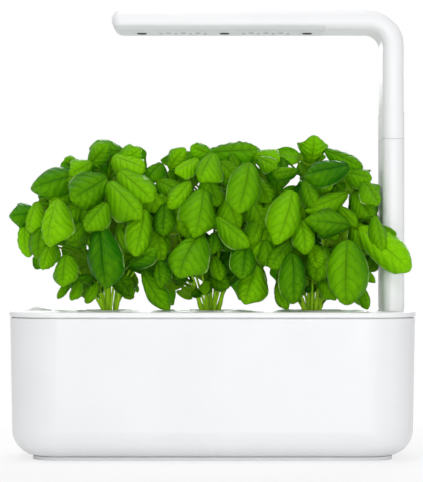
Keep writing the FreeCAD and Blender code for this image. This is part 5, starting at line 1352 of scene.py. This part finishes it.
@dataclass(frozen=True)
class Studio:
    """The floor, the white surroundings, the lights and the camera at the photograph's angle."""

    lights: tuple[AreaLight, ...]
    surround: float
    floor_share: float
    eye: Point
    lens: float
    shift: Span
    sensor: float = 36.0
    clip: Span = (0.05, 50.0)
    floor_colour: Colour = (0.93, 0.93, 0.94)
    floor_roughness: float = 0.9
    floor_radius: float = 6.0
    floor_sides: int = 96
    shadow_reach: Span = (0.16, 0.42)

    def build(self) -> None:
        """Adds everything that isn't the object."""
        for light in self.lights:
            light.build()
        self.make_world()
        self.make_floor()
        self.make_camera()

    def seen_directly(self, graph: Graph) -> Socket:
        """Tells the camera's own rays, and those that a mirror or glass sends on, from the rest.

        Args:
            graph: The node tree that needs it.

        Returns:
            1 for such rays, 0 for the others.
        """
        path = graph.add("LightPath").outputs
        sent_on = graph.maths(Maths.MAXIMUM, path["Is Glossy Ray"], path["Is Transmission Ray"])
        return graph.maths(Maths.MAXIMUM, path["Is Camera Ray"], sent_on)

    def make_world(self) -> None:
        """A white world to the camera, a dimmer one as a light."""
        world = bpy.data.worlds.new("Surroundings")
        world.use_nodes = True
        graph = Graph(world.node_tree)
        graph.tree.nodes.clear()
        levels = {"Value": self.seen_directly(graph), "To Min": self.surround, "To Max": 1.0}
        strength = graph.add("MapRange", levels).outputs["Result"]
        sky = graph.add("Background", {"Color": opaque(WHITE), "Strength": strength})
        graph.add("OutputWorld", {"Surface": sky.outputs[0]})
        bpy.context.scene.world = world

    def make_floor(self) -> None:
        """A round pale floor, mostly white to the camera, that keeps the object's faint shadow."""
        angle = np.linspace(0.0, 2.0 * math.pi, self.floor_sides, endpoint=False)
        circle = np.stack([np.cos(angle), np.sin(angle), np.zeros_like(angle)], axis=-1)
        mesh = bpy.data.meshes.new("Floor")
        mesh.from_pydata((circle * self.floor_radius).tolist(), [], [list(range(self.floor_sides))])
        floor = bpy.data.objects.new("Floor", mesh)
        bpy.context.scene.collection.objects.link(floor)
        material, graph, shader = new_material("Pale floor")
        graph.fill(shader, {
            "Base Color": opaque(self.floor_colour), "Roughness": self.floor_roughness,
            "Specular IOR Level": 0.0,
        })
        white = graph.add("Emission", {"Color": opaque(WHITE), "Strength": 1.0})
        place = graph.add("TexCoord").outputs["Object"]
        distance = graph.add("VectorMath", {0: place}, operation="LENGTH").outputs["Value"]
        paler = graph.remap(distance, self.shadow_reach, (self.floor_share, 1.0))
        graph.blend(graph.maths(Maths.MULTIPLY, self.seen_directly(graph), paler), shader, white)
        mesh.materials.append(material)

    def make_camera(self) -> None:
        """A level camera in front of the object."""
        data = bpy.data.cameras.new("Camera")
        data.sensor_width, data.lens = self.sensor, self.lens
        data.shift_x, data.shift_y = self.shift
        data.clip_start, data.clip_end = self.clip
        camera = bpy.data.objects.new("Camera", data)
        camera.location = self.eye
        camera.rotation_euler = (math.pi / 2.0, 0.0, 0.0)
        bpy.context.scene.collection.objects.link(camera)
        bpy.context.scene.camera = camera


STUDIO = Studio(
    lights=(
        AreaLight("Overhead", (-0.2, -0.1, 1.7), (0.0, 0.0, 0.15), 9.0, 1.0, 0.9),
        AreaLight("Key", (-0.6, -1.7, 1.4), (0.0, 0.0, 0.14), 8.5, 0.6, 0.6),
        AreaLight("Fill", (0.2, -2.2, 0.16), (0.0, 0.0, 0.08), 16.5, 1.0, 0.5),
        AreaLight("Side", (1.9, -1.1, 0.5), (0.1, 0.0, 0.15), 4.0, 0.8, 0.8),
        AreaLight("Back", (0.3, 1.8, 0.9), (0.0, 0.0, 0.2), 22.0, 1.2, 1.0),
    ),
    surround=0.3,
    floor_share=0.75,
    eye=(0.0, -1.65, 0.1592),
    lens=161.5,
    shift=(-1.1 / 482.0, 6.0 / 482.0),
)
# The veins' colour also paints the highlight along each leaf's edge
LEAF = LeafFinish(
    "Basil leaf", light=(0.3, 0.72, 0.002), dark=(0.011, 0.105, 0.0005), vein_and_highlight=(0.62, 0.88, 0.28),
    back=(0.3, 0.6, 0.01), through=(0.32, 0.88, 0.001), passing=0.3,
)
STEM = StemFinish("Basil stem", foot=(0.4, 0.72, 0.02), head=(0.18, 0.48, 0.005), low=0.112, high=0.175)


def main() -> None:
    """Dresses the housing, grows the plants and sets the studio."""
    logging.basicConfig(level=logging.INFO, format="%(name)s: %(message)s")
    bpy.context.scene.view_settings.view_transform = "Standard"
    skin = MouldedSkin().build()
    for finish in FINISHES:
        finish.apply(skin)
    leaf_finish, stem_finish = LEAF.make(LeafSkin().build()), STEM.make()
    for plant in PLANTS:
        plant.build(leaf_finish, stem_finish)
    STUDIO.build()


if __name__ == "__main__":
    main()
